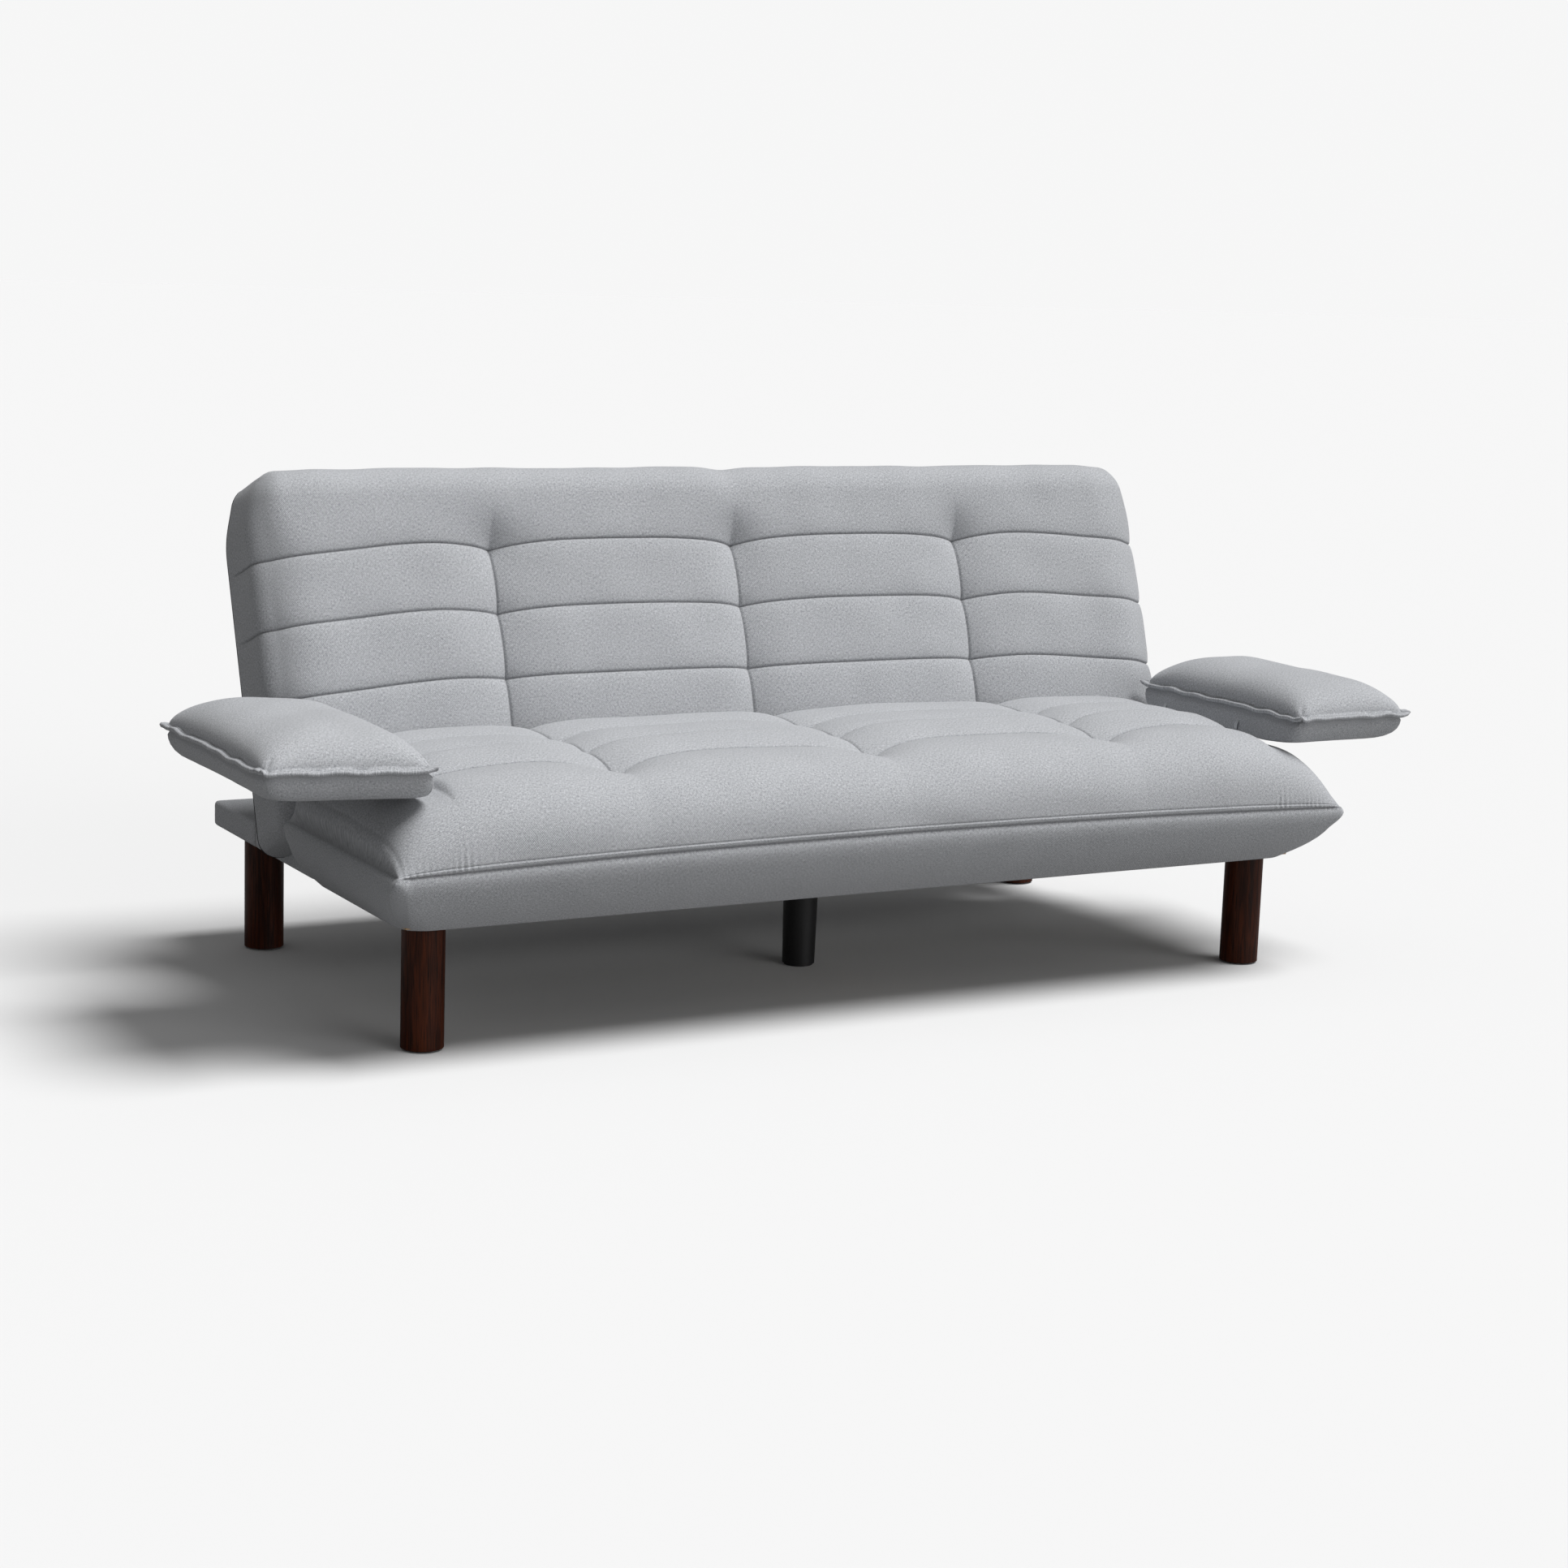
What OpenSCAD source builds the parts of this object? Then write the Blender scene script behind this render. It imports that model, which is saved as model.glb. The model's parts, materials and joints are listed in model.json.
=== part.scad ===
// Futon sofa bed. A timber base on five legs carries a fixed upholstered seat.
// The backrest pivots on two toothed side hinges, from upright down to a flat
// bed, and a pillow arm at each end lifts on two strap hinges.
// Millimetres. +Z is up, +X runs along the seat, and the seat faces -Y.
// The origin is on the floor, under the middle of the object.

/* [Base] */
// Depth from the front of the seat to the rear of the base
overall_depth = 865; // [855:1:895]
// Width of the base over its cover
base_width = 1496; // [1440:2:1560]
// Height of the underside of the base
leg_height = 177; // [160:1:200]
// Diameter of the four corner legs
leg_diameter = 60; // [50:1:64]
// Diameter of the centre leg at the floor
centre_leg_diameter = 50; // [40:1:54]
// Distance of the centre leg to the right of the middle
centre_leg_offset = 28; // [-60:1:60]
// Number of slats under the seat
seat_slat_count = 9; // [5:1:11]

/* [Seat] */
// Top of the seat above the underside of the base
seat_rise = 208; // [202:1:212]
// How far the seat's side seam stands out beyond the base
seat_overhang = 40; // [30:1:42]
// Radius of the roll along the seat's front top edge
seat_roll = 75; // [40:1:90]

/* [Backrest] */
// Lean of the upright backrest from the vertical, in degrees
back_lean = 19.5; // [19:0.5:21]
// Length of the backrest above its pivot
back_length = 477; // [450:1:500]
// Length of the backrest below its pivot
back_tail = 82; // [70:1:84]
// Padding in front of the pivot
back_front = 120; // [112:1:122]
// Padding behind the pivot
back_rear = 35; // [30:1:36]
// Number of slats in the backrest
back_slat_count = 9; // [5:1:11]
// Number of steps in the hinge from upright to flat
hinge_steps = 5; // [3:1:5]

/* [Arms] */
// How far an arm reaches sideways
arm_reach = 235; // [210:1:250]
// Length of an arm from front to back
arm_length = 428; // [400:1:430]
// Height of an arm's pivot above the underside of the base
arm_pivot_rise = 192; // [188:1:193]
// Height of the pillow's crown above its piping
arm_crown = 50; // [40:1:54]

/* [Covers] */
// Thickness of the padded fabric covers
cover_t = 3; // [2:0.5:3]

/* [Hidden] */
$fn = 48;

seat_front = -overall_depth / 2;
base_rear = overall_depth / 2;
base_half = base_width / 2;
base_z = leg_height;
fabric = "#a9afb3";
foam_colour = "#e8dcae";
timber = "#c9a16c";
leg_wood = "#4a2114";
steel = "#8a8f94";
dark_steel = "#4b4f53";
black = "#17181a";

// Legs
glide_t = 3;
leg_x = base_half - 48;
leg_front_y = seat_front + 125;
leg_rear_y = base_rear - 99;
leg_top = base_z + cover_t;
bolt_r = 4;
running_gap = 0.05;
leg_places = [[leg_x, leg_front_y], [leg_x, leg_rear_y]];

// Timber base
rail_w = 25;
rail_low = base_z + cover_t;
rail_high = base_z + 37;
rail_out = base_half - cover_t;
rail_in = rail_out - rail_w;
base_front = seat_front + 75;
front_rail_y = base_front + cover_t;
rear_rail_y = base_rear - cover_t - rail_w;
pivot_y = seat_front + 556;
pivot_z = base_z + 93;
seat_rear_foot = pivot_y - 131.5;
seat_cross_y = seat_rear_foot - 32;
deck_y = pivot_y + 116.5;
deck_cross_y = deck_y + cover_t;
centre_leg_y = seat_front + 366;
block_w = 65;
block_h = 28;
screw_r = 2.5;
screw_head_r = 4.5;
screw_head_t = 2;
frame_screw_length = 70;
deck_panel_t = 3;
slat_t = 16;
slat_w = 70;
slat_high = rail_high + slat_t;
strip_y = seat_rear_foot + 3;
strip_top = rail_high + cover_t;

// Seat
seat_half = base_half + seat_overhang;
seat_top = base_z + seat_rise;
welt_z = base_z + 90;
seat_rear = pivot_y - 90;
sweep_r = 130;
lip_w = 17;

// Backrest, in its own frame: Z runs up the back, Y to the rear, 0 at the pivot
back_half = base_half + seat_overhang;
back_roll = 50;
tail_roll = 45;
slot_in = rail_in - 12;
slot_out = base_half + 5;
slot_top = 60;
slot_front = 80;
stile_w = 25;
tube_wall = 2;
stile_out = rail_in - 9;
stile_in = stile_out - stile_w;
frame_low = 65;
frame_high = back_length - 37;
back_slat_t = 8;

// Backrest hinge
plate_t = 4;
tooth_r = 38;
notch_w = 6;
notch_depth = 5;
hinge_pin_r = 6;
travel = 90 - back_lean;
pawl_y = 24;
pawl_z = 44;
pawl_pin_r = 3;
pawl_t = 3.6;
arm_bolts_z = [100, 130];
anchor_y = 22;
anchor_z = -73;

// Arms, drawn on the right-hand side
arm_z = base_z + arm_pivot_rise;
arm_x = base_half - 21;
arm_in = arm_x - 12;
arm_out = arm_in + arm_reach;
arm_front = seat_front + 30;
arm_rear = arm_front + arm_length;
pipe_low = arm_z + 28;
pipe_high = arm_z + 36;
arm_floor = arm_z - 14;
arm_hinge_ys = [arm_front + 154.5, arm_front + 344.5];
strap_t = 3;
strap_gap = 0.5;
hub_r = 13;
arm_pin_r = 4;
strap_reach = 128;
board_low = arm_z + 6;
board_t = 12;
board_in = arm_in + 40;

// ---------------------------------------------------------------- helpers

module on_left() {
    mirror([1, 0, 0]) children();
}

module on_both_sides() {
    children();
    on_left() children();
}

// Places the backrest's own frame at its upright lean
module reclined() {
    translate([0, pivot_y, pivot_z]) rotate([-back_lean, 0, 0]) children();
}

function arc(cx, cy, r, from, to, steps = 6) = [
    for (i = [0:steps])
        let (a = from + (to - from) * i / steps)
        [cx + r * cos(a), cy + r * sin(a)]
];

// Corner radii run from the high-x, high-y corner anticlockwise
function rounded(x0, x1, y0, y1, r) = concat(
    arc(x1 - r[0], y1 - r[0], r[0], 0, 90),
    arc(x0 + r[1], y1 - r[1], r[1], 90, 180),
    arc(x0 + r[2], y0 + r[2], r[2], 180, 270),
    arc(x1 - r[3], y0 + r[3], r[3], 270, 360)
);

// Box between two opposite corners
module block(low, high) {
    translate(low) cube(high - low);
}

// Outline in Y and Z, carried along X
module side_prism(outline, x0, x1) {
    translate([x0, 0, 0]) rotate([90, 0, 90]) linear_extrude(x1 - x0) polygon(outline);
}

// Outline in X and Z, carried along Y
module end_prism(outline, y0, y1) {
    translate([0, y1, 0]) rotate([90, 0, 0]) linear_extrude(y1 - y0) polygon(outline);
}

// Round bar along X from x0 to x1
module bar_x(r, x0, x1) {
    translate([x0, 0, 0]) rotate([0, 90, 0]) cylinder(r = r, h = x1 - x0);
}

// Round bar along Y from y0 to y1
module bar_y(r, y0, y1) {
    translate([0, y1, 0]) rotate([90, 0, 0]) cylinder(r = r, h = y1 - y0);
}

module all_leg_places() {
    on_both_sides() for (p = leg_places) translate([p[0], p[1], 0]) children();
    translate([centre_leg_offset, centre_leg_y, 0]) children();
}

// ------------------------------------------------------------------- legs

leg_bore_depth = 35;

module leg_bore() {
    translate([0, 0, leg_top - leg_bore_depth]) cylinder(r = bolt_r, h = leg_bore_depth + 1);
}

module corner_leg(place) {
    color(leg_wood) translate([place[0], place[1], 0]) difference() {
        translate([0, 0, glide_t]) cylinder(d = leg_diameter, h = leg_top - glide_t);
        leg_bore();
    }
}

module leg_centre() {
    color(black) translate([centre_leg_offset, centre_leg_y, 0]) difference() {
        translate([0, 0, glide_t])
            cylinder(d1 = centre_leg_diameter, d2 = centre_leg_diameter + 6, h = leg_top - glide_t);
        leg_bore();
    }
}

module leg_glides() {
    color(black) all_leg_places() cylinder(d = centre_leg_diameter - 6, h = glide_t);
}

module leg_bolts() {
    color(steel) all_leg_places()
        translate([0, 0, leg_top - leg_bore_depth]) cylinder(r = bolt_r, h = leg_bore_depth + 24);
}

module leg_nuts() {
    color(steel) all_leg_places() difference() {
        union() {
            translate([0, 0, rail_low + 10]) cylinder(r = 5.5, h = block_h - 10);
            translate([0, 0, rail_low + block_h]) cylinder(r = 9, h = 2);
        }
        translate([0, 0, rail_low]) cylinder(r = bolt_r, h = block_h + 3);
    }
}

// ------------------------------------------------------------- timber base

module base_front_rail() {
    color(timber) difference() {
        block([-rail_out, front_rail_y, rail_low], [rail_out, front_rail_y + rail_w, rail_high]);
        frame_screw_form(running_gap);
    }
}

module base_rear_rail() {
    color(timber) difference() {
        block([-rail_out, rear_rail_y, rail_low], [rail_out, rear_rail_y + rail_w, rail_high]);
        frame_screw_form(running_gap);
    }
}

// Bored for the frame screws, the hinge bolts and the arm brackets' screws
module base_side_rail() {
    color(timber) difference() {
        block([rail_in, front_rail_y + rail_w, rail_low], [rail_out, rear_rail_y, rail_high]);
        frame_screw_form(running_gap);
        hinge_anchor_shanks(bolt_r + running_gap);
        arm_bracket_shanks(screw_r + running_gap);
    }
}

module seat_cross_rail() {
    color(timber) block([-rail_in, seat_cross_y, rail_low], [rail_in, seat_cross_y + rail_w, rail_high]);
}

module deck_cross_rail() {
    color(timber) block([-rail_in, deck_cross_y, rail_low], [rail_in, deck_cross_y + rail_w, rail_high]);
}

// The beam is pocketed from above for the centre leg's nut
module centre_beam() {
    color(timber) difference() {
        block([centre_leg_offset - 30, front_rail_y + rail_w, rail_low],
              [centre_leg_offset + 30, seat_cross_y, rail_high]);
        translate([centre_leg_offset, centre_leg_y, rail_low - 1]) cylinder(r = 5.5, h = 60);
        translate([centre_leg_offset, centre_leg_y, rail_low + block_h]) cylinder(r = 9, h = 60);
    }
}

module corner_blocks() {
    color(timber) on_both_sides() for (p = leg_places) difference() {
        block([rail_in - block_w, p[1] - 22, rail_low], [rail_in, p[1] + 38, rail_low + block_h]);
        translate([p[0], p[1], rail_low - 1]) cylinder(r = 5.5, h = block_h + 2);
    }
}

// Long screws through the end rails into the side rails, let in flush. The
// same form, drawn larger by clear, cuts their holes.
module frame_screw_form(clear) {
    on_both_sides() for (z = [rail_low + 9, rail_high - 9])
        translate([rail_out - rail_w / 2, 0, z]) {
            bar_y(screw_r + clear, front_rail_y, front_rail_y + frame_screw_length);
            bar_y(screw_head_r + clear, front_rail_y - clear, front_rail_y + screw_head_t);
            bar_y(screw_r + clear, rear_rail_y + rail_w - frame_screw_length, rear_rail_y + rail_w);
            bar_y(screw_head_r + clear, rear_rail_y + rail_w - screw_head_t, rear_rail_y + rail_w + clear);
        }
}

module frame_screws() {
    color(steel) frame_screw_form(0);
}

module deck_panel() {
    color(timber) block([-rail_in, deck_cross_y + rail_w, rail_high - deck_panel_t],
                        [rail_in, rear_rail_y, rail_high]);
}

module seat_slats() {
    span = 2 * (rail_in - 75) - slat_w;
    color(timber) for (i = [0:seat_slat_count - 1])
        translate([-span / 2 - slat_w / 2 + span * i / (seat_slat_count - 1), 0, 0])
            block([0, front_rail_y, rail_high], [slat_w, seat_cross_y + rail_w, slat_high]);
}

// Wraps the rear deck, round the rear legs
module deck_cover() {
    color(fabric) difference() {
        block([-base_half, deck_y, base_z], [base_half, base_rear, strip_top]);
        block([-rail_out, deck_y + cover_t, rail_low], [rail_out, base_rear - cover_t, rail_high]);
        on_both_sides() {
            block([rail_in, deck_y - 1, rail_low], [rail_out, deck_y + cover_t + 1, rail_high]);
            translate([leg_x, leg_rear_y, 0]) cylinder(d = leg_diameter + 1, h = rail_low + 1);
        }
    }
}

// Wraps the bare stretch of a side rail, open on the inner side
module side_cover() {
    color(fabric) difference() {
        block([rail_in, strip_y, base_z], [base_half, deck_y, strip_top]);
        block([rail_in - 1, strip_y - 1, rail_low], [rail_out, deck_y + 1, rail_high]);
    }
}

module dust_cover() {
    color(black) difference() {
        block([-base_half + lip_w, base_front + 18.5, base_z + 1],
              [base_half - lip_w, seat_rear_foot - cover_t, rail_low]);
        on_both_sides() translate([leg_x, leg_front_y, 0]) cylinder(d = leg_diameter + 1, h = rail_low + 1);
        translate([centre_leg_offset, centre_leg_y, 0])
            cylinder(d = centre_leg_diameter + 8, h = rail_low + 1);
    }
}

// Rubber studs that the backrest lies on when it is flat
module rest_bumpers() {
    color(black) on_both_sides() for (x = [210, 620])
        translate([x, base_rear - 26, strip_top]) cylinder(r = 14, h = pivot_z - back_rear - strip_top - 0.6);
}

// ------------------------------------------------------------------- seat

// Side outline of the seat, drawn in by t for the inside of the cover
function seat_side(t) = concat(
    [[base_front + t, base_z + t], [seat_front + t, welt_z]],
    arc(seat_front + seat_roll, seat_top - seat_roll, seat_roll - t, 180, 90),
    arc(seat_rear - 20, seat_top - 20, 20 - t, 90, 0, 3),
    [[seat_rear - t, base_z + 130], [seat_rear_foot - t, base_z + 73], [seat_rear_foot - t, base_z + t]]
);

// Right half of the end outline: a shoulder dips under the pillow arm
function seat_end_half(t) = [
    [base_half - t, base_z + t],
    [seat_half - t, welt_z],
    [seat_half - 10 - t, welt_z + 38],
    [arm_x + 23 - t, arm_z - 21 - t / 2],
    [arm_x, arm_z - 16 - t],
    [arm_x - 36, arm_z - 10 - t],
    [arm_x - 50, seat_top - 15 - t],
    [arm_x - 82, seat_top - t]
];

function with_mirror(half) = concat(
    half,
    [for (i = [len(half) - 1:-1:0]) [-half[i][0], half[i][1]]]
);

module seat_form(t) {
    difference() {
        intersection() {
            side_prism(seat_side(t), -seat_half, seat_half);
            end_prism(with_mirror(seat_end_half(t)), seat_front, seat_rear);
        }
        // Room for the foot of the backrest as it swings
        translate([0, pivot_y, pivot_z]) bar_x(sweep_r + t, -seat_half - 1, seat_half + 1);
        reclined() block([-seat_half - 1, -back_front - 3 - t, 20], [seat_half + 1, 200, 300]);
    }
}

module arm_bracket_slots(z0) {
    on_both_sides() for (y = arm_hinge_ys)
        block([arm_x - hub_r - 1, y - 6, z0], [arm_x + hub_r + 1, y + 9, seat_top + 1]);
}

module seat_cover() {
    color(fabric) difference() {
        seat_form(0);
        seat_form(cover_t);
        // The cover is open underneath, inside a stapled lip
        block([-base_half + lip_w, base_front + 18.5, base_z - 1],
              [base_half - lip_w, seat_rear_foot - cover_t, rail_low + 1]);
        // The side rails run out through the rear wall
        on_both_sides()
            block([rail_in, seat_rear_foot - 10, rail_low], [rail_out, seat_rear_foot + 1, rail_high]);
        arm_bracket_slots(slat_high);
    }
}

module seat_foam() {
    color(foam_colour) difference() {
        seat_form(cover_t);
        block([-rail_out - 0.5, front_rail_y - 0.5, base_z], [rail_out + 0.5, seat_rear, slat_high]);
        arm_bracket_slots(base_z);
    }
}

// --------------------------------------------------------------- backrest

// The slots clear the side rails and hinges beside the backrest's foot
module back_form(t) {
    difference() {
        intersection() {
            side_prism(
                rounded(-back_front + t, back_rear - t, -back_tail + t, back_length - t,
                        [back_roll - t, back_roll - t, tail_roll - t, 30 - t]),
                -back_half + t, back_half - t);
            translate([0, 0, -back_tail])
                linear_extrude(back_tail + back_length)
                    polygon(rounded(-back_half + t, back_half - t, -back_front + t, back_rear - t,
                                    [30 - t, 30 - t, 40 - t, 40 - t]));
            end_prism(
                rounded(-back_half + t, back_half - t, -back_tail + t, back_length - t,
                        [35 - t, 35 - t, 20 - t, 20 - t]),
                -back_front, back_rear);
        }
        on_both_sides()
            block([slot_in - t, -slot_front - t, -back_tail - 1],
                  [slot_out + t, back_rear + 1, slot_top + t]);
    }
}

module hinge_arm_room() {
    on_both_sides() block([stile_out, -16, 45], [stile_out + plate_t + 1, 16, 152]);
}

module back_cover() {
    color(fabric) reclined() difference() {
        back_form(0);
        back_form(cover_t);
        hinge_arm_room();
    }
}

module back_foam() {
    color(foam_colour) reclined() difference() {
        back_form(cover_t);
        block([-stile_out, -stile_w / 2 - back_slat_t, frame_low], [stile_out, stile_w / 2, frame_high]);
        hinge_arm_room();
        on_both_sides() for (z = arm_bolts_z)
            translate([0, 0, z]) bar_x(8, stile_out, stile_out + 12);
    }
}

module back_stile() {
    color(dark_steel) reclined() difference() {
        block([stile_in, -stile_w / 2, frame_low], [stile_out, stile_w / 2, frame_high]);
        block([stile_in + tube_wall, -stile_w / 2 + tube_wall, frame_low - 1],
              [stile_out - tube_wall, stile_w / 2 - tube_wall, frame_high + 1]);
        for (z = arm_bolts_z) translate([0, 0, z]) bar_x(bolt_r, stile_in - 1, stile_out + 1);
    }
}

module back_cross_tube(z0) {
    color(dark_steel) reclined() difference() {
        block([-stile_in, -stile_w / 2, z0], [stile_in, stile_w / 2, z0 + stile_w]);
        block([-stile_in - 1, -stile_w / 2 + tube_wall, z0 + tube_wall],
              [stile_in + 1, stile_w / 2 - tube_wall, z0 + stile_w - tube_wall]);
    }
}

module back_slats() {
    span = 2 * stile_in - slat_w - 40;
    color(timber) reclined() for (i = [0:back_slat_count - 1])
        translate([-span / 2 - slat_w / 2 + span * i / (back_slat_count - 1), 0, 0])
            block([0, -stile_w / 2 - back_slat_t, frame_low], [slat_w, -stile_w / 2, frame_high]);
}

// --------------------------------------------------------- backrest hinges

// Fixed plate: a foot on the side rail and a toothed head round the pivot
module back_hinge_plate() {
    color(steel) translate([rail_in - plate_t, pivot_y, pivot_z])
        rotate([90, 0, 90]) linear_extrude(plate_t) difference() {
            union() {
                circle(r = tooth_r);
                polygon([[-30, -20], [-36, -60], [-36, -88], [36, -88], [36, -60], [30, -20]]);
            }
            circle(r = hinge_pin_r);
            for (k = [0:hinge_steps])
                rotate(-back_lean - travel * k / hinge_steps)
                    translate([-notch_w / 2, tooth_r - notch_depth]) square([notch_w, 10]);
            for (y = [-anchor_y, anchor_y]) translate([y, anchor_z]) circle(r = bolt_r);
        }
}

module hinge_anchor_shanks(r) {
    for (y = [-anchor_y, anchor_y])
        translate([0, pivot_y + y, pivot_z + anchor_z]) bar_x(r, rail_in - plate_t - 0.1, rail_in + 20);
}

module hinge_anchor_bolts() {
    color(dark_steel) on_both_sides() {
        hinge_anchor_shanks(bolt_r);
        for (y = [-anchor_y, anchor_y])
            translate([0, pivot_y + y, pivot_z + anchor_z])
                bar_x(7, rail_in - plate_t - 3, rail_in - plate_t);
    }
}

module back_pin() {
    head_r = 10;
    color(steel) translate([0, pivot_y, pivot_z]) {
        bar_x(hinge_pin_r, stile_out - 1, rail_in + 1);
        bar_x(head_r, stile_out - 2.2, stile_out - 0.2);
        bar_x(head_r, rail_in, rail_in + 4);
    }
}

// Moving arm: hub on the pin, an ear for the pawl, a strap bolted to the stile
module back_hinge_arm() {
    color(steel) reclined() translate([stile_out, 0, 0])
        rotate([90, 0, 90]) linear_extrude(plate_t) difference() {
            union() {
                circle(r = 24);
                translate([-15, 0]) square([30, 150]);
                polygon([[10, 15], [33, 38], [33, 52], [10, 60]]);
            }
            circle(r = hinge_pin_r + running_gap);
            translate([pawl_y, pawl_z]) circle(r = pawl_pin_r);
            for (z = arm_bolts_z) translate([0, z]) circle(r = bolt_r);
        }
}

module back_arm_bolts() {
    color(dark_steel) reclined() on_both_sides() for (z = arm_bolts_z) translate([0, 0, z]) {
        bar_x(bolt_r, stile_in - 1, stile_out + plate_t + 1);
        bar_x(7, stile_out + plate_t, stile_out + plate_t + 3.5);
        bar_x(7, stile_in - 4, stile_in);
    }
}

module pawl_pins() {
    color(dark_steel) reclined() on_both_sides() translate([0, pawl_y, pawl_z]) {
        bar_x(pawl_pin_r, stile_out - 1, rail_in + 7);
        bar_x(5, stile_out - 2.2, stile_out);
        bar_x(5, rail_in + 6.5, rail_in + 8.5);
    }
}

// Hook-nosed pawl, held clear of the teeth
module pawl() {
    color(dark_steel) reclined() translate([rail_in - plate_t + 0.2, 0, 0])
        rotate([90, 0, 90]) linear_extrude(pawl_t) difference() {
            union() {
                translate([pawl_y, pawl_z]) circle(r = 7);
                polygon([[-3, 39.5], [1, 39.5], [2.5, 43], [pawl_y, 38.5], [pawl_y, 50], [-3, 50]]);
            }
            translate([pawl_y, pawl_z]) circle(r = pawl_pin_r + running_gap);
        }
}

// Wound torsion spring beside each pawl
module pawl_springs() {
    color(steel) reclined() on_both_sides() translate([0, pawl_y, pawl_z]) difference() {
        bar_x(6, rail_in + 0.5, rail_in + 6);
        bar_x(pawl_pin_r + 0.6, rail_in, rail_in + 7);
    }
}

// ------------------------------------------------------------------- arms

// Width outline of an arm: a tub below the piping, a crowned dome above it
function arm_end(t) =
    let (
        half = arm_reach / 2 - 8,
        r = (half * half + arm_crown * arm_crown) / (2 * arm_crown),
        cz = pipe_high + arm_crown - r,
        swing = asin(half / r)
    )
    concat(
        [[arm_in + 28 + t, arm_z - 6], [arm_in + 40 + t, arm_floor + t],
         [arm_out - 35 - t, arm_floor + t], [arm_out - 15 - t, arm_z - 1],
         [arm_out - 10 - t, pipe_low]],
        t == 0 ? [[arm_out, pipe_low], [arm_out, pipe_high]] : [],
        arc((arm_in + arm_out) / 2, cz, r - t, 90 - swing, 90 + swing, 12),
        t == 0 ? [[arm_in, pipe_high], [arm_in, pipe_low]] : [],
        [[arm_in + 25 + t, pipe_low]]
    );

// Length outline of an arm
function arm_side(t) = concat(
    [[arm_front + 20 + t, arm_z - 6], [arm_front + 32 + t, arm_floor + t],
     [arm_rear - 32 - t, arm_floor + t], [arm_rear - 20 - t, arm_z - 6],
     [arm_rear - 14 - t, pipe_low]],
    t == 0 ? [[arm_rear, pipe_low], [arm_rear, pipe_high]] : [],
    arc(arm_rear - 8 - arm_crown, pipe_high, arm_crown - t, 0, 90),
    arc(arm_front + 8 + arm_crown, pipe_high, arm_crown - t, 90, 180),
    t == 0 ? [[arm_front, pipe_high], [arm_front, pipe_low]] : [],
    [[arm_front + 14 + t, pipe_low]]
);

module arm_form(t) {
    intersection() {
        end_prism(arm_end(t), arm_front, arm_rear);
        side_prism(arm_side(t), arm_in, arm_out);
    }
}

strap_low_y = strap_t / 2 + strap_gap;
strap_high_y = strap_low_y + strap_t;
strap_flange = 22;
strap_screw_xs = [55, 108];

// Room for the moving straps inside an arm
module strap_room() {
    for (y = arm_hinge_ys) translate([arm_x, y, arm_z]) {
        block([0, strap_low_y - 0.5, -9], [strap_reach + 2, strap_high_y + 0.5, 6]);
        block([30, strap_low_y - 0.5, -1], [strap_reach + 2, strap_low_y + strap_flange + 0.5, 6]);
    }
}

module arm_cover() {
    color(fabric) difference() {
        arm_form(0);
        arm_form(cover_t);
        strap_room();
    }
}

module arm_foam() {
    color(foam_colour) difference() {
        arm_form(cover_t);
        block([board_in, arm_front + 35, board_low], [arm_out - 22, arm_rear - 35, board_low + board_t]);
        strap_room();
    }
}

module arm_board() {
    color(timber) difference() {
        block([board_in, arm_front + 35, board_low], [arm_out - 22, arm_rear - 35, board_low + board_t]);
        for (y = arm_hinge_ys, x = strap_screw_xs)
            translate([arm_x + x, y + 15, board_low - 1]) cylinder(r = screw_r, h = board_t);
    }
}

// Upright bracket: a foot screwed on the side rail and an eye at the pivot
module arm_brackets() {
    color(steel) for (y = arm_hinge_ys) translate([arm_x, y, 0]) difference() {
        union() {
            translate([0, 0, arm_z]) bar_y(hub_r, -strap_t / 2, strap_t / 2);
            block([-10, -strap_t / 2, rail_high + 1], [10, strap_t / 2, arm_z]);
            block([-10, -20, rail_high], [rail_out - arm_x, 20, rail_high + 3]);
        }
        translate([0, 0, arm_z]) bar_y(arm_pin_r, -5, 5);
        for (s = [-12, 12]) translate([12, s, rail_high - 1]) cylinder(r = screw_r, h = 6);
    }
}

module arm_bracket_shanks(r) {
    for (y = arm_hinge_ys, s = [-12, 12])
        translate([arm_x + 12, y + s, rail_high - 22]) cylinder(r = r, h = 25.1);
}

module arm_bracket_screws() {
    color(dark_steel) on_both_sides() {
        arm_bracket_shanks(screw_r);
        for (y = arm_hinge_ys, s = [-12, 12])
            translate([arm_x + 12, y + s, rail_high + 3]) cylinder(r = screw_head_r, h = screw_head_t);
    }
}

module arm_hinge_pins() {
    color(steel) on_both_sides() for (y = arm_hinge_ys) translate([arm_x, y, arm_z]) {
        bar_y(arm_pin_r, -strap_t / 2 - 1, strap_high_y + 1);
        bar_y(7, -strap_t / 2 - 2.5, -strap_t / 2);
        bar_y(7, strap_high_y + 0.3, strap_high_y + 2.8);
    }
}

// Moving strap: an eye at the pivot and a flange screwed under the board
module arm_straps() {
    color(steel) for (y = arm_hinge_ys) translate([arm_x, y, arm_z]) difference() {
        union() {
            bar_y(hub_r, strap_low_y, strap_high_y);
            block([0, strap_low_y, -8], [strap_reach, strap_high_y, 6]);
            block([33, strap_low_y, 3], [strap_reach, strap_low_y + strap_flange, 6]);
        }
        bar_y(arm_pin_r + running_gap, -10, 10);
        for (x = strap_screw_xs) translate([x, 15, 0]) cylinder(r = screw_r, h = 10);
    }
}

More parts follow.
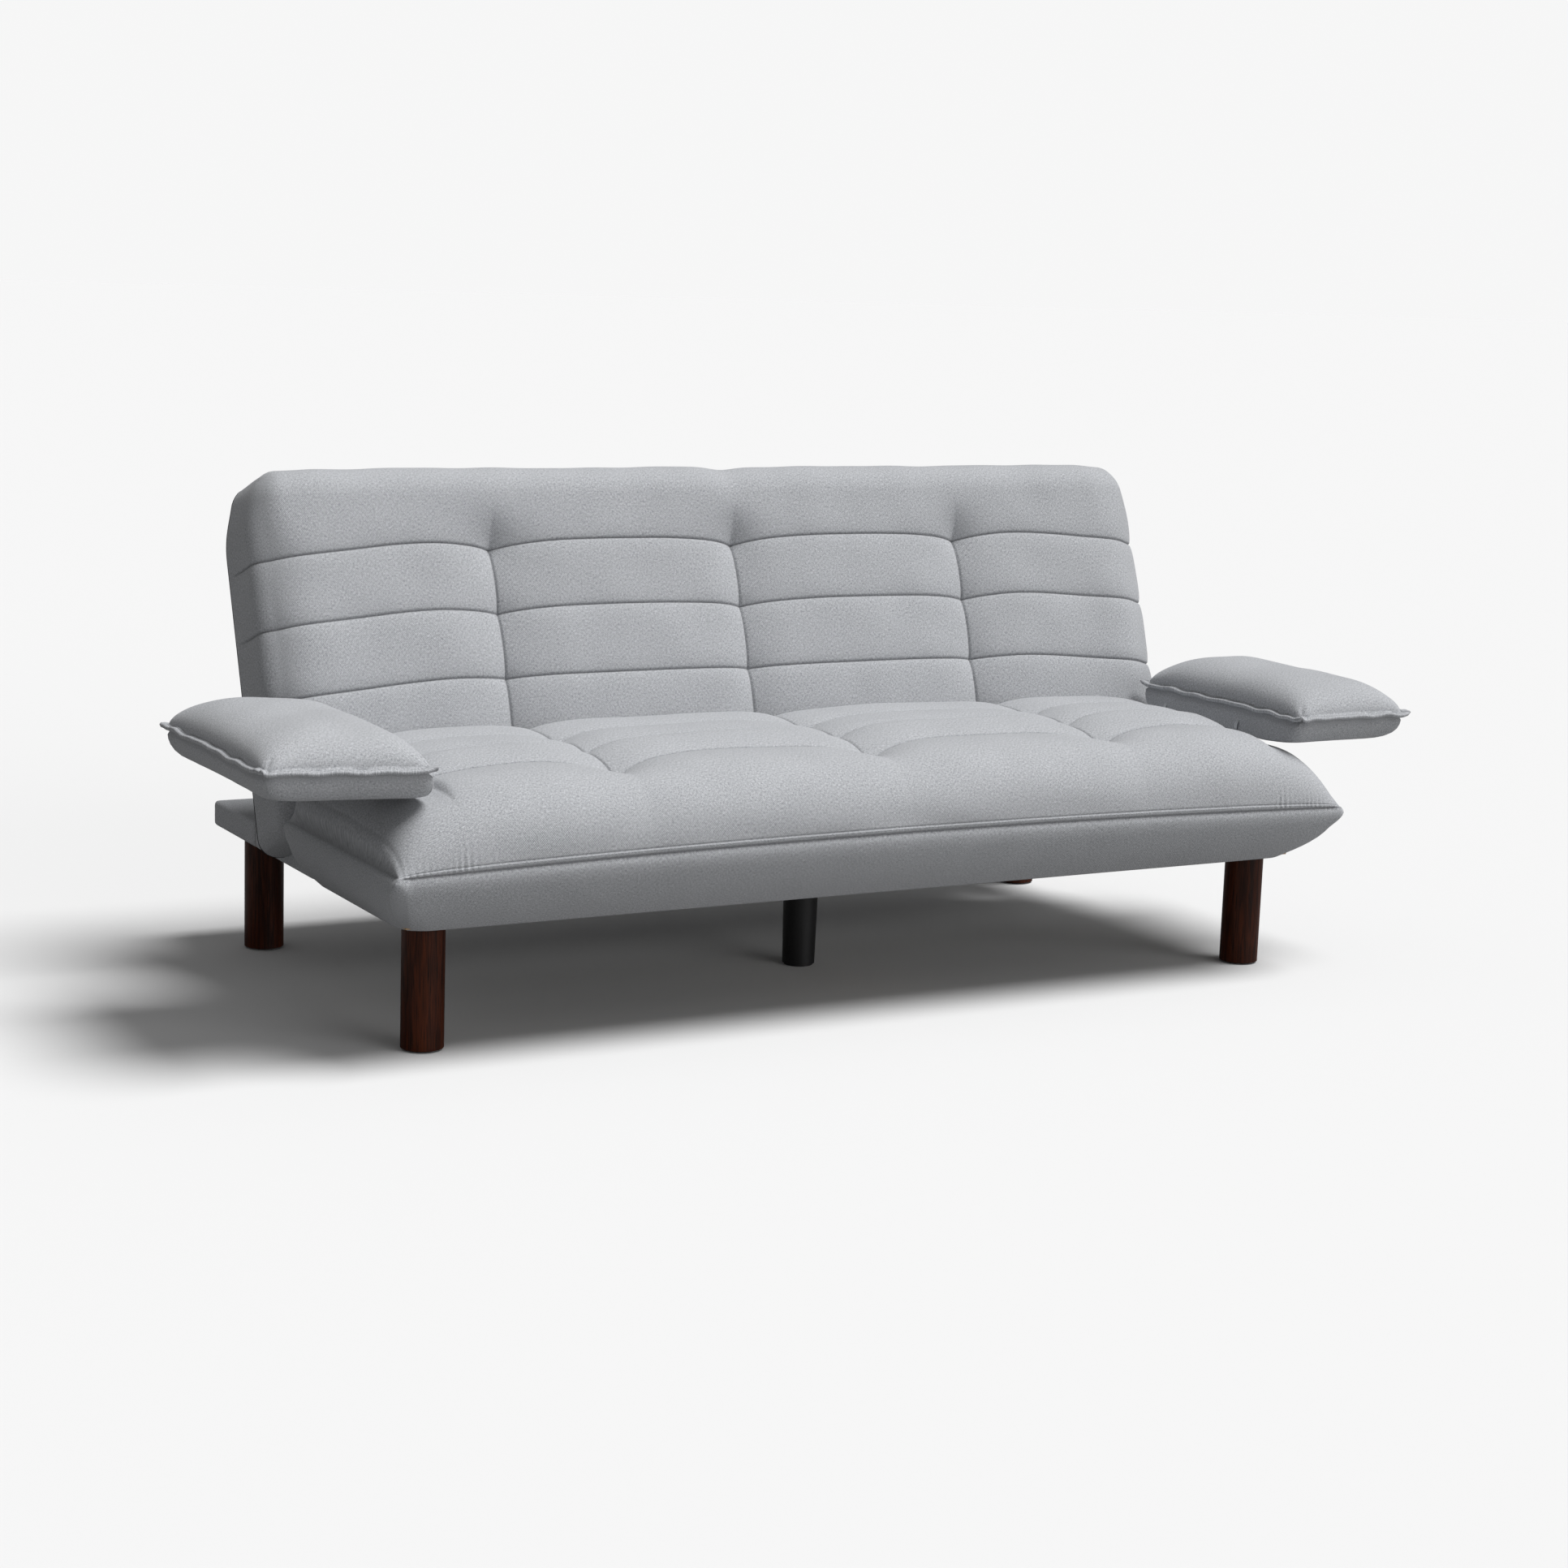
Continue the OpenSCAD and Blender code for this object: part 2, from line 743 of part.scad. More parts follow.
module arm_strap_screws() {
    color(dark_steel) for (y = arm_hinge_ys, x = strap_screw_xs) translate([arm_x + x, y + 15, 0]) {
        translate([0, 0, arm_z + 2.9]) cylinder(r = screw_r, h = 13);
        translate([0, 0, arm_z + 1]) cylinder(r = screw_head_r, h = screw_head_t);
    }
}

// ------------------------------------------------------------------ nodes

on_left() corner_leg(leg_places[0]);  // leg_front_left
corner_leg(leg_places[0]);  // leg_front_right
on_left() corner_leg(leg_places[1]);  // leg_rear_left
corner_leg(leg_places[1]);  // leg_rear_right
leg_centre();
leg_glides();
leg_bolts();
leg_nuts();
base_front_rail();
base_rear_rail();
on_left() base_side_rail();  // base_left_rail
base_side_rail();  // base_right_rail
seat_cross_rail();
deck_cross_rail();
centre_beam();
corner_blocks();
frame_screws();
deck_panel();
deck_cover();
on_left() side_cover();  // side_cover_left
side_cover();  // side_cover_right
dust_cover();
seat_slats();
seat_foam();
seat_cover();
rest_bumpers();
on_left() back_hinge_plate();  // back_hinge_plate_left
back_hinge_plate();  // back_hinge_plate_right
hinge_anchor_bolts();
on_left() back_pin();  // back_pin_left
back_pin();  // back_pin_right
back_cross_tube(frame_high - stile_w);  // back_top_rail
back_cross_tube(frame_low);  // back_bottom_rail
on_left() back_stile();  // back_left_stile
back_stile();  // back_right_stile
back_slats();
back_foam();
back_cover();
on_left() back_hinge_arm();  // back_hinge_arm_left
back_hinge_arm();  // back_hinge_arm_right
back_arm_bolts();
pawl_pins();
pawl_springs();
on_left() pawl();  // pawl_left
pawl();  // pawl_right
on_left() arm_brackets();  // arm_brackets_left
arm_brackets();  // arm_brackets_right
arm_hinge_pins();
arm_bracket_screws();
on_left() arm_straps();  // arm_straps_left
arm_straps();  // arm_straps_right
on_left() arm_strap_screws();  // arm_strap_screws_left
arm_strap_screws();  // arm_strap_screws_right
on_left() arm_board();  // arm_board_left
arm_board();  // arm_board_right
on_left() arm_foam();  // arm_foam_left
arm_foam();  // arm_foam_right
on_left() arm_cover();  // arm_cover_left
arm_cover();  // arm_cover_right
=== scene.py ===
import json
import math

import bpy
import numpy as np
from mathutils import Matrix, Vector


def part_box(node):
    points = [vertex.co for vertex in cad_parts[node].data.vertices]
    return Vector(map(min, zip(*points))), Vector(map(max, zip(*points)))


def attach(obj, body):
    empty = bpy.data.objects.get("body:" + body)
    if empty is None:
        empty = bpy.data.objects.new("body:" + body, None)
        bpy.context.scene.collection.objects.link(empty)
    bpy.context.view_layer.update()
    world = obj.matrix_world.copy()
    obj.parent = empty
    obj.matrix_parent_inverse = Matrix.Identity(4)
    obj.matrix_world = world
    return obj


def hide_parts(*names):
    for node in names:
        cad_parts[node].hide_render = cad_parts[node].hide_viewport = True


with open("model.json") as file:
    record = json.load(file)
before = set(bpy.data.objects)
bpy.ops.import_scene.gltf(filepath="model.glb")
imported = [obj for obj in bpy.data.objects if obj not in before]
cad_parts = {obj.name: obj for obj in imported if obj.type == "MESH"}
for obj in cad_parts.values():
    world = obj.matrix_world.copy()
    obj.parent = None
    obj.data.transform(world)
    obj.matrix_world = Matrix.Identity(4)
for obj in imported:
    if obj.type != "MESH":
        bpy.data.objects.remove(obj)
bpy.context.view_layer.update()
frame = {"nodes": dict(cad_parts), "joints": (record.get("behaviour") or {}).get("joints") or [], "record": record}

# --- Camera, floor and lights. A long lens at the left, a little above the back, shows the front, the
# left end and both arms. One broad lamp stands high on the right and a weak one low in front, and the
# camera sees the surround and the floor paler than they light the sofa.
VIEW_YAW = math.radians(29.58)
VIEW_DROP = math.radians(10.15)
VIEW_ROLL = math.radians(2.0)
VIEW_PLACE = Vector((-2.211, -3.947, 1.085))
LENS = 67.8
SENSOR = 36.0
VIEW_FAR = 100.0
AMBIENT = 0.20
BACKDROP = 0.925


def linked(name, data):
    """A new object that holds this data in the scene."""
    holder = bpy.data.objects.new(name, data)
    bpy.context.scene.collection.objects.link(holder)
    return holder


ahead = Vector((
    math.sin(VIEW_YAW) * math.cos(VIEW_DROP),
    math.cos(VIEW_YAW) * math.cos(VIEW_DROP),
    -math.sin(VIEW_DROP),
))
level = Vector((math.cos(VIEW_YAW), -math.sin(VIEW_YAW), 0.0))
upward = level.cross(ahead)
right = math.cos(VIEW_ROLL) * level + math.sin(VIEW_ROLL) * upward
top = -math.sin(VIEW_ROLL) * level + math.cos(VIEW_ROLL) * upward

camera = linked("camera", bpy.data.cameras.new("camera"))
camera.data.lens = LENS
camera.data.sensor_width = SENSOR
camera.data.clip_end = VIEW_FAR
camera.matrix_world = Matrix.Translation(VIEW_PLACE) @ Matrix((right, top, -ahead)).transposed().to_4x4()
bpy.context.scene.camera = camera
bpy.context.scene.view_settings.view_transform = "Standard"


def soft_sun(name, toward, power, width):
    """A far lamp that shines from the direction toward, its disc width radians across."""
    lamp = bpy.data.lights.new(name, "SUN")
    lamp.energy = power
    lamp.angle = width
    linked(name, lamp).rotation_euler = Vector(toward).to_track_quat("Z", "Y").to_euler()


soft_sun("key_light", toward=(0.42, -0.26, 1.0), power=3.5, width=math.radians(30.0))
soft_sun("front_fill", toward=(0.45, -0.93, 0.16), power=0.95, width=math.radians(45.0))
surround = bpy.data.worlds.new("surround")
surround.use_nodes = True
sky = surround.node_tree
sky_seen = sky.nodes.new("ShaderNodeLightPath")
strength = sky.nodes.new("ShaderNodeMapRange")
strength.inputs["To Min"].default_value = AMBIENT
strength.inputs["To Max"].default_value = BACKDROP
sky.links.new(sky_seen.outputs["Is Camera Ray"], strength.inputs["Value"])
sky.links.new(strength.outputs["Result"], sky.nodes["Background"].inputs["Strength"])
sky.nodes["Background"].inputs["Color"].default_value = (1.0, 1.0, 1.0, 1.0)
bpy.context.scene.world = surround


class Shade:
    """One output of a material's nodes. Sums on it add Math nodes."""

    def __init__(self, finish, socket):
        self.finish = finish
        self.socket = socket

    def _math(self, operation, a, b=None, clamp=False):
        values = {0: a} if b is None else {0: a, 1: b}
        return self.finish.node("ShaderNodeMath", {"operation": operation, "use_clamp": clamp}, values)

    def __add__(self, other):
        return self._math("ADD", self, other)

    def __sub__(self, other):
        return self._math("SUBTRACT", self, other)

    def __mul__(self, other):
        return self._math("MULTIPLY", self, other)

    def __rsub__(self, other):
        return self._math("SUBTRACT", other, self)

    __radd__ = __add__
    __rmul__ = __mul__

    def wave(self):
        """Sine of the value, from -1 to 1."""
        return self._math("SINE", self)

    def clamped(self):
        """The value held between 0 and 1."""
        return self._math("ADD", self, 0.0, clamp=True)


class Finish:
    """A material. node() adds any node, and surface() sets the sockets of its Principled shader."""

    def __init__(self, name):
        self.material = bpy.data.materials.new(name)
        self.material.use_nodes = True
        self.tree = self.material.node_tree
        self.shader = self.tree.nodes["Principled BSDF"]

    def fill(self, node, values):
        """Links each Shade to its socket and sets the others to their values."""
        for key, value in values.items():
            if isinstance(value, Shade):
                self.tree.links.new(value.socket, node.inputs[key])
            else:
                node.inputs[key].default_value = value

    def node(self, kind, settings=None, values=None, output=0):
        """Adds a node, sets its settings first, then its sockets, and returns one of its outputs."""
        made = self.tree.nodes.new(kind)
        for key, value in (settings or {}).items():
            setattr(made, key, value)
        self.fill(made, values or {})
        return Shade(self, made.outputs[output])

    def in_place(self):
        """Object coordinates, in metres."""
        return self.node("ShaderNodeTexCoord", output="Object")

    def on_cloth(self):
        """The place on the flat cloth, in metres."""
        return self.node("ShaderNodeUVMap", {"uv_map": "cloth"})

    def mix(self, factor, a, b):
        """Colour a where factor is 0 and colour b where it is 1."""
        values = {0: factor, 6: a, 7: b}
        return self.node("ShaderNodeMix", {"data_type": "RGBA", "clamp_factor": True}, values, output=2)

    def surface(self, **sockets):
        """Sets the shader's sockets, named with _ for each space, and returns the material."""
        self.fill(self.shader, {key.replace("_", " "): value for key, value in sockets.items()})
        return self.material

    def noise(self, place, scale, detail=2.0):
        """Soft noise from 0 to 1, with about scale blobs to a unit of place."""
        values = {"Vector": place, "Scale": scale, "Detail": detail}
        return self.node("ShaderNodeTexNoise", None, values)

    def stretched(self, place, scale):
        """place scaled on each axis, for a pattern that runs one way."""
        return self.node("ShaderNodeVectorMath", {"operation": "MULTIPLY"}, {0: place, 1: scale})

    def bump(self, height, distance, strength=1.0):
        """A normal bent by a relief, distance deep where height is 1."""
        values = {"Height": height, "Distance": distance, "Strength": strength}
        return self.node("ShaderNodeBump", None, values)


FLOOR_SEEN = (0.74, 0.74, 0.74, 1.0)
FLOOR_BOUNCE = (0.26, 0.26, 0.26, 1.0)
FLOOR_HALF = 60.0
studio_floor = Finish("studio_floor")
floor_seen = studio_floor.node("ShaderNodeLightPath", output="Is Camera Ray")
studio_floor.surface(
    Base_Color=studio_floor.mix(floor_seen, FLOOR_BOUNCE, FLOOR_SEEN),
    Roughness=0.9,
    Specular_IOR_Level=0.0,
)
floor_mesh = bpy.data.meshes.new("floor")
floor_corners = [(x * FLOOR_HALF, y * FLOOR_HALF, 0.0) for x, y in ((-1, -1), (1, -1), (1, 1), (-1, 1))]
floor_mesh.from_pydata(floor_corners, [], [(0, 1, 2, 3)])
floor_mesh.materials.append(studio_floor.material)
floor = linked("floor", floor_mesh)


# --- Seat cushion. One padded cover over foam and a timber base: a crowned top sheet, sewn in three
# rows and three columns and drawn down where they cross, and a boxed lower band that slopes in to
# the base. The two meet at a flat felled seam round the middle, and the lower band is stapled under.
def smooth(low, high, value):
    """0 below low, 1 above high and a smooth step between."""
    share = np.clip((value - low) / (high - low), 0.0, 1.0)
    return share * share * (3.0 - 2.0 * share)


def grid_lines(low, high, step, seams, fine, reach):
    """Places from low to high, step apart, closing up to fine apart within reach of each seam."""
    dense = np.linspace(low, high, 6000)
    density = np.full_like(dense, 1.0 / step)
    for seam in seams:
        density += (1.0 / fine - 1.0 / step) * np.exp(-(((dense - seam) / reach) ** 2))
    count = np.concatenate([[0.0], np.cumsum((density[1:] + density[:-1]) / 2 * np.diff(dense))])
    return np.interp(np.linspace(0.0, count[-1], int(count[-1]) + 1), count, dense)


def border(grid):
    """The outer points of a grid as one loop, anticlockwise as seen from outside."""
    return np.concatenate([grid[:, 0], grid[-1, 1:], grid[-2::-1, -1], grid[0, -2:0:-1]])


def cloth_mesh(name, points, faces, cloth):
    """A mesh with a UV map of cloth: each point's place on the flat cloth, in metres."""
    mesh = bpy.data.meshes.new(name)
    mesh.from_pydata(points.tolist(), [], faces)
    corner = np.zeros(len(mesh.loops), np.int32)
    mesh.loops.foreach_get("vertex_index", corner)
    mesh.uv_layers.new(name="cloth").data.foreach_set("uv", cloth[corner].astype(np.float32).ravel())
    return mesh


def shade_smooth(mesh):
    """Shades all of a mesh's faces smooth."""
    mesh.polygons.foreach_set("use_smooth", np.ones(len(mesh.polygons), bool))


def closed_skin(name, sheet, rings, sheet_uv, ring_uvs, sheet_seam_and_shade=None, ring_seam_and_shade=None):
    """A sheet, a grid of points, goes on outwards through rings of points round its border, and a
    flat cap closes the last ring. Faces point out of the shape. UVs are in metres of cloth. The seam
    masks are 1 on a seam and 0 away from it, and go on as an attribute that darkens the cloth's
    colour along the seams: their dark thread and painted shade in the seam creases."""
    number = np.arange(sheet[..., 0].size).reshape(sheet.shape[:2])
    corners = [number[:-1, :-1], number[1:, :-1], number[1:, 1:], number[:-1, 1:]]
    quads = [np.stack(corners, -1).reshape(-1, 4)]
    loop = border(number)
    start = number.size
    for _ in rings:
        following = start + np.arange(len(loop))
        start += len(loop)
        quads.append(np.stack([np.roll(loop, -1), loop, following, np.roll(following, -1)], -1))
        loop = following
    points = np.concatenate([sheet.reshape(-1, 3), *rings])
    faces = np.concatenate(quads).tolist() + [loop[::-1].tolist()]
    mesh = cloth_mesh(name, points, faces, np.concatenate([sheet_uv.reshape(-1, 2), *ring_uvs]))
    if sheet_seam_and_shade is not None:
        sewn = np.concatenate([sheet_seam_and_shade.ravel(), *ring_seam_and_shade]).astype(np.float32)
        # The seam mask goes on the mesh as an attribute. The cloth's colour darkens by it, painting the seams'
        # dark thread and the shade in their creases.
        mesh.attributes.new("sewn", "FLOAT", "POINT").data.foreach_set("value", sewn)
    shade_smooth(mesh)
    mesh.polygons[-1].use_smooth = False
    return linked(name, mesh)


def outward(loop):
    """Unit vectors that point away from a loop's middle, square to its nearer side."""
    middle = (loop.min(0) + loop.max(0)) / 2
    half = (loop.max(0) - loop.min(0)) / 2
    share = (loop - middle) / half
    return np.where(np.abs(share) > 1.0 - 1e-6, np.sign(share), 0.0)


def drawn_in(loop, inset):
    """A flat loop, shrunk towards its middle by inset at its edges."""
    middle = (loop.min(0) + loop.max(0)) / 2
    half = (loop.max(0) - loop.min(0)) / 2
    return middle + (loop - middle) * (1.0 - inset / half)


TWILL_RIB = 0.0028
TWILL_YARN = 0.0014
GREY_LIGHT = (0.574, 0.585, 0.609, 1.0)
GREY_DARK = (0.230, 0.238, 0.252, 1.0)
# Near black, mixed into the cloth along its seams: the seams' dark thread and painted shade in the seam creases.
SEAM_THREAD_AND_SHADE = (0.05, 0.052, 0.056, 1.0)


def twill(name, light, dark):
    """Heathered twill: pale and dark yarns crossed in fine diagonal ribs, with flecks along the yarns,
    darkened along the seams by their thread and by painted shade in the seam creases.
    """
    cloth = Finish(name)
    place = cloth.on_cloth()
    across = cloth.node("ShaderNodeSeparateXYZ", None, {0: place}, output="X")
    up = cloth.node("ShaderNodeSeparateXYZ", None, {0: place}, output="Y")
    rib = ((across + up * 1.15) * (2.0 * math.pi / TWILL_RIB)).wave()
    yarn = ((across - up * 0.9) * (2.0 * math.pi / TWILL_YARN)).wave()
    warp = cloth.noise(cloth.stretched(place, (820.0, 260.0, 1.0)), 1.0, 1.0)
    weft = cloth.noise(cloth.stretched(place, (240.0, 820.0, 1.0)), 1.0, 1.0)
    mottle = cloth.noise(place, 380.0)
    cloud = cloth.noise(place, 14.0)
    flecks = (warp - 0.5) * 1.3 + (weft - 0.5) * 1.15 + (mottle - 0.5) * 0.7 + (cloud - 0.5) * 0.16
    tone = 0.5 + rib * 0.12 + yarn * 0.05 + flecks
    # Along the seams the colour darkens towards near black: painted shade in the seam creases, with the seams'
    # dark thread.
    seam = cloth.node("ShaderNodeAttribute", {"attribute_name": "sewn"}, output="Fac")
    height = rib * 0.5 + yarn * 0.25 + (warp - 0.5)
    yarns = cloth.mix(tone.clamped(), dark, light)
    return cloth.surface(
        Base_Color=cloth.mix(seam * 0.45, yarns, SEAM_THREAD_AND_SHADE),
        Roughness=0.92,
        Sheen_Weight=0.2,
        Sheen_Roughness=0.5,
        Specular_IOR_Level=0.25,
        Normal=cloth.bump(height, 0.0005, 0.45),
    )


grey_twill = twill("grey_twill", GREY_LIGHT, GREY_DARK)

COLUMN_PITCH = 0.4135
TUFT_COLUMNS = (-COLUMN_PITCH, 0.0, COLUMN_PITCH)
COLUMN_GRID = {"step": 0.0065, "fine": 0.0014, "reach": 0.008}
ROW_GRID = {"step": 0.0060, "fine": 0.0011, "reach": 0.007}
SEAM_CUT = 0.0022
SEAM_WIDE = 0.0015
COLUMN_WIDE = 0.034
TUFT_WIDE = 0.031
LOWER_TUFT = 0.55


def to_tuft_column(x):
    """Distance along the sofa to the nearest of the three columns of tufts."""
    return np.min(np.abs(np.subtract.outer(x, TUFT_COLUMNS)), axis=-1)


def arched(x):
    """0 at each tuft, rising at once to a flat 1 midway: how a row seam lifts between its tufts."""
    return 1.0 - (1.0 - np.clip(to_tuft_column(x) / (COLUMN_PITCH / 2), 0.0, 1.0)) ** 3


def quilted(x, along, rows, arches, row_pull, column_pull, tuft_pull, fade, spread):
    """How far the stitching draws the cover in, and where it is sewn. A row or column adds a thin cut
    and a valley with sloping walls, and a tuft adds a cone. Beyond the first row the columns fade out."""
    beside = to_tuft_column(x)
    pull = column_pull * np.exp(-beside / COLUMN_WIDE) * smooth(rows[0] - fade, rows[0], along) ** 1.5
    cut = np.exp(-((beside / SEAM_WIDE) ** 2)) * smooth(rows[0] - 0.004, rows[0] + 0.002, along)
    for row, arch in zip(rows, arches):
        gap = along - row - arch * arched(x)
        pull += row_pull * np.exp(-np.abs(gap) / spread)
        tuft = tuft_pull * (1.0 if row == rows[0] else LOWER_TUFT)
        pull += tuft * np.exp(-np.hypot(beside, (along - row) * 0.9) / TUFT_WIDE)
        cut = np.maximum(cut, np.exp(-((gap / SEAM_WIDE) ** 2)))
    return pull + SEAM_CUT * cut, cut


RUMPLE_WAVES = 14
RUMPLE_HEIGHT = 3.7


def rumpled(x, y, size, seed):
    """Gentle unevenness of stuffed cloth: a few crossing waves of about one unit height."""
    draw = np.random.default_rng(seed)
    total = np.zeros(np.broadcast(x, y).shape)
    for _ in range(RUMPLE_WAVES):
        way = draw.uniform(0, 2 * math.pi)
        phase = draw.uniform(0, 2 * math.pi)
        length = draw.uniform(0.6, 1.8)
        total += np.sin((x * np.cos(way) + y * np.sin(way)) * 2 * math.pi / (size * length) + phase)
    return total / RUMPLE_HEIGHT


def joint_place(name):
    """A point on a joint's axis, from the frame."""
    return Vector(next(joint["pos_m"] for joint in frame["joints"] if joint["name"] == name))


seat_low, seat_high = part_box("seat_cover")
arm_low, arm_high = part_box("arm_cover_right")
PIVOT = joint_place("backrest_recline")
LEAN = math.radians(19.5)
SEAT_HALF = seat_high.x - 0.0005
SEAT_FRONT = seat_low.y
SEAT_BACK = -0.030
SEAT_BASE = seat_low.z
WELT_LOW = SEAT_BASE + 0.090
WELT_RISE = 0.012
TOPSTITCH = 0.009
ROLL_BACK = 0.1425
ROLL_HIGH = 0.122
ROLL_POWER = 0.87
CROWN = SEAT_BASE + 0.225
CROWN_FROM = -0.21
CROWN_FALL = 0.006
BEND_RADIUS = 0.030
SWEEP = 0.132
BACK_FRONT = 0.120
BACK_GAP = 0.004
FOOT_BACK = 0.1325
FOOT_SLOPE = 0.3
FACE_FROM = 0.05
BASE_HALF = SEAT_HALF - 0.0395
BASE_FRONT = SEAT_FRONT + 0.075
SEAT_ROWS = (0.125, 0.225, 0.325)
SEAT_ARCHES = (0.034, 0.034, 0.030)


def behind_seat(z):
    """Rear face of the seat: it keeps outside the backrest's sweep, just off its front face, and below
    that it slopes down to its foot."""
    sweep = PIVOT.y - np.sqrt(np.maximum(SWEEP**2 - (z - PIVOT.z) ** 2, 0.0))
    face = PIVOT.y - (BACK_FRONT + BACK_GAP - (z - PIVOT.z) * math.sin(LEAN)) / math.cos(LEAN)
    slope = PIVOT.y - FOOT_BACK + (z - PIVOT.z + 0.02) * FOOT_SLOPE
    return np.minimum(sweep, np.where(z > PIVOT.z + FACE_FROM, face, slope))


rolled = np.linspace(0.0, math.pi / 2, 40)
roll_y = SEAT_FRONT + ROLL_BACK * (1.0 - np.cos(rolled) ** ROLL_POWER)
roll_z = WELT_LOW + ROLL_HIGH * np.sin(rolled) ** ROLL_POWER
flat_y = np.linspace(roll_y[-1], SEAT_BACK, 30)[1:]
flat_z = np.interp(flat_y, [roll_y[-1], CROWN_FROM, SEAT_BACK], [roll_z[-1], CROWN, CROWN - CROWN_FALL])
drop_z = np.linspace(flat_z[-1] - BEND_RADIUS, WELT_LOW, 20)
drop_y = behind_seat(drop_z)
bend = np.linspace(0.0, math.pi / 2, 12)[1:-1]
bend_y = flat_y[-1] + (drop_y[0] - flat_y[-1]) * np.sin(bend)
bend_z = drop_z[0] + BEND_RADIUS * np.cos(bend)
outline_y = np.concatenate([roll_y, flat_y, bend_y, drop_y])
outline_z = np.concatenate([roll_z, flat_z, bend_z, drop_z])
length = np.concatenate([[0.0], np.cumsum(np.hypot(np.diff(outline_y), np.diff(outline_z)))])
on_top = len(roll_y) + len(flat_y)
row_lengths = np.interp([SEAT_FRONT + row for row in SEAT_ROWS], outline_y[:on_top], length[:on_top])

PUCKER = 0.70
PUCKER_FADE = 0.07
PUCKER_PITCH = 0.0088
PUCKER_DEEP = 0.0015
PUCKER_LONG = 0.017
END_GRID = {"step": 0.0021, "fine": 0.0014, "reach": 0.008}
seat_x = np.concatenate([
    grid_lines(-SEAT_HALF, -PUCKER + PUCKER_FADE, seams=(-SEAT_HALF,), **END_GRID),
    grid_lines(-PUCKER + PUCKER_FADE, PUCKER - PUCKER_FADE, seams=TUFT_COLUMNS, **COLUMN_GRID)[1:-1],
    grid_lines(PUCKER - PUCKER_FADE, SEAT_HALF, seams=(SEAT_HALF,), **END_GRID),
])
seat_w = grid_lines(0.0, length[-1], seams=(0.0, TOPSTITCH, *row_lengths), **ROW_GRID)
x, w = np.meshgrid(seat_x, seat_w, indexing="ij")
w = w + arched(x) * np.interp(w, [0.0, *row_lengths, length[-1]], [0.0, *SEAT_ARCHES, 0.0])
y = np.interp(w, length, outline_y)
z = np.interp(w, length, outline_z)
slope_y = np.interp(w, length, np.gradient(outline_y, length))
slope_z = np.interp(w, length, np.gradient(outline_z, length))
full = np.sqrt(np.maximum(1.0 - np.abs(x / SEAT_HALF) ** 10, 0.0))
# quilted also gives the seam mask, which paints the seams' dark thread and painted shade in their creases into the
# cover's colour.
pull, seat_seam_and_shade = quilted(
    x, w, row_lengths, SEAT_ARCHES,
    row_pull=0.0075, column_pull=0.0125, tuft_pull=0.014, fade=0.095, spread=0.019,
)
pull += 0.0008 * rumpled(x, w, 0.16, 3)
inside = smooth(0.0, 0.09, SEAT_HALF - np.abs(x)) * smooth(0.0, 0.03, w)
pull *= inside
seat_seam_and_shade *= inside


def felled(distance):
    """Inward press of a flat felled seam, by distance from it: the seam, a proud fold, its topstitch."""
    seam = 0.0024 * np.exp(-((distance / 0.0016) ** 2))
    stitched = 0.0009 * np.exp(-(((distance - TOPSTITCH) / 0.0012) ** 2))
    return seam + stitched - 0.0008 * smooth(0.001, 0.004, distance) * smooth(0.0095, 0.0070, distance)


def felled_line(distance):
    """1 on the felled seam, and less on the topstitch beside it."""
    return np.exp(-((distance / 0.0014) ** 2)) + 0.55 * np.exp(-(((distance - TOPSTITCH) / 0.0009) ** 2))


ripple = np.sin(x * 2 * math.pi / PUCKER_PITCH + 1.3 * np.sin(x * 61.0))
gather_deep = PUCKER_DEEP + 0.0008 * np.sin(x * 97.0)
gather_long = PUCKER_LONG + 0.006 * np.sin(x * 143.0)
near_ends = smooth(PUCKER - PUCKER_FADE, PUCKER - 0.02, np.abs(x))
gather = gather_deep * ripple * np.exp(-w / gather_long) * near_ends
pull += gather * smooth(0.0, 0.006, w)
swell = 0.004 * np.exp(-(((w - 0.09) / 0.07) ** 2)) * arched(x)
depth = pull - swell
y = y + slope_z * depth
z = z - slope_y * depth
seam_y = np.interp(w / length[-1], [0.0, 1.0], [SEAT_FRONT + 0.004, drop_y[-1]])
y = seam_y + (y - seam_y) * full ** 0.6
welt_z = WELT_LOW + WELT_RISE * (1.0 - (x / SEAT_HALF) ** 2) * (1.0 - smooth(0.0, 0.5, w))
z = welt_z + (z - WELT_LOW) * full * (CROWN - welt_z) / (CROWN - WELT_LOW)
from_end = SEAT_HALF - np.abs(x)
y = y + felled(w) * smooth(0.0, 0.02, from_end)
x = x - np.sign(x) * felled(from_end) * smooth(0.0, 0.02, w)
# The seam mask takes in the felled seam and its topstitch too, for their dark thread and painted shade.
seat_seam_and_shade = np.maximum(seat_seam_and_shade, np.maximum(felled_line(w), felled_line(from_end) * smooth(0.0, 0.004, w)))

SHOULDER_X = (0.640, 0.660, 0.676, 0.687, 0.700, 0.714, 0.740, 0.788)
SHOULDER_Z = (0.410, 0.401, 0.384, 0.362, 0.3570, 0.3535, 0.3515, 0.330)
SHOULDER_BLEND = 0.008
under_arm = smooth(arm_low.y - 0.070, arm_low.y + 0.008, y) * smooth(0.590, 0.640, np.abs(x))
above = z - np.interp(np.abs(x), SHOULDER_X, SHOULDER_Z)
z = z - 0.5 * (above + np.sqrt(above**2 + SHOULDER_BLEND**2)) * under_arm
seat_sheet = np.stack([x, y, z], -1)
seat_uv = np.stack([x, w], -1)
seat_uv[[0, -1], :, 0] = [[-SEAT_HALF], [SEAT_HALF]]

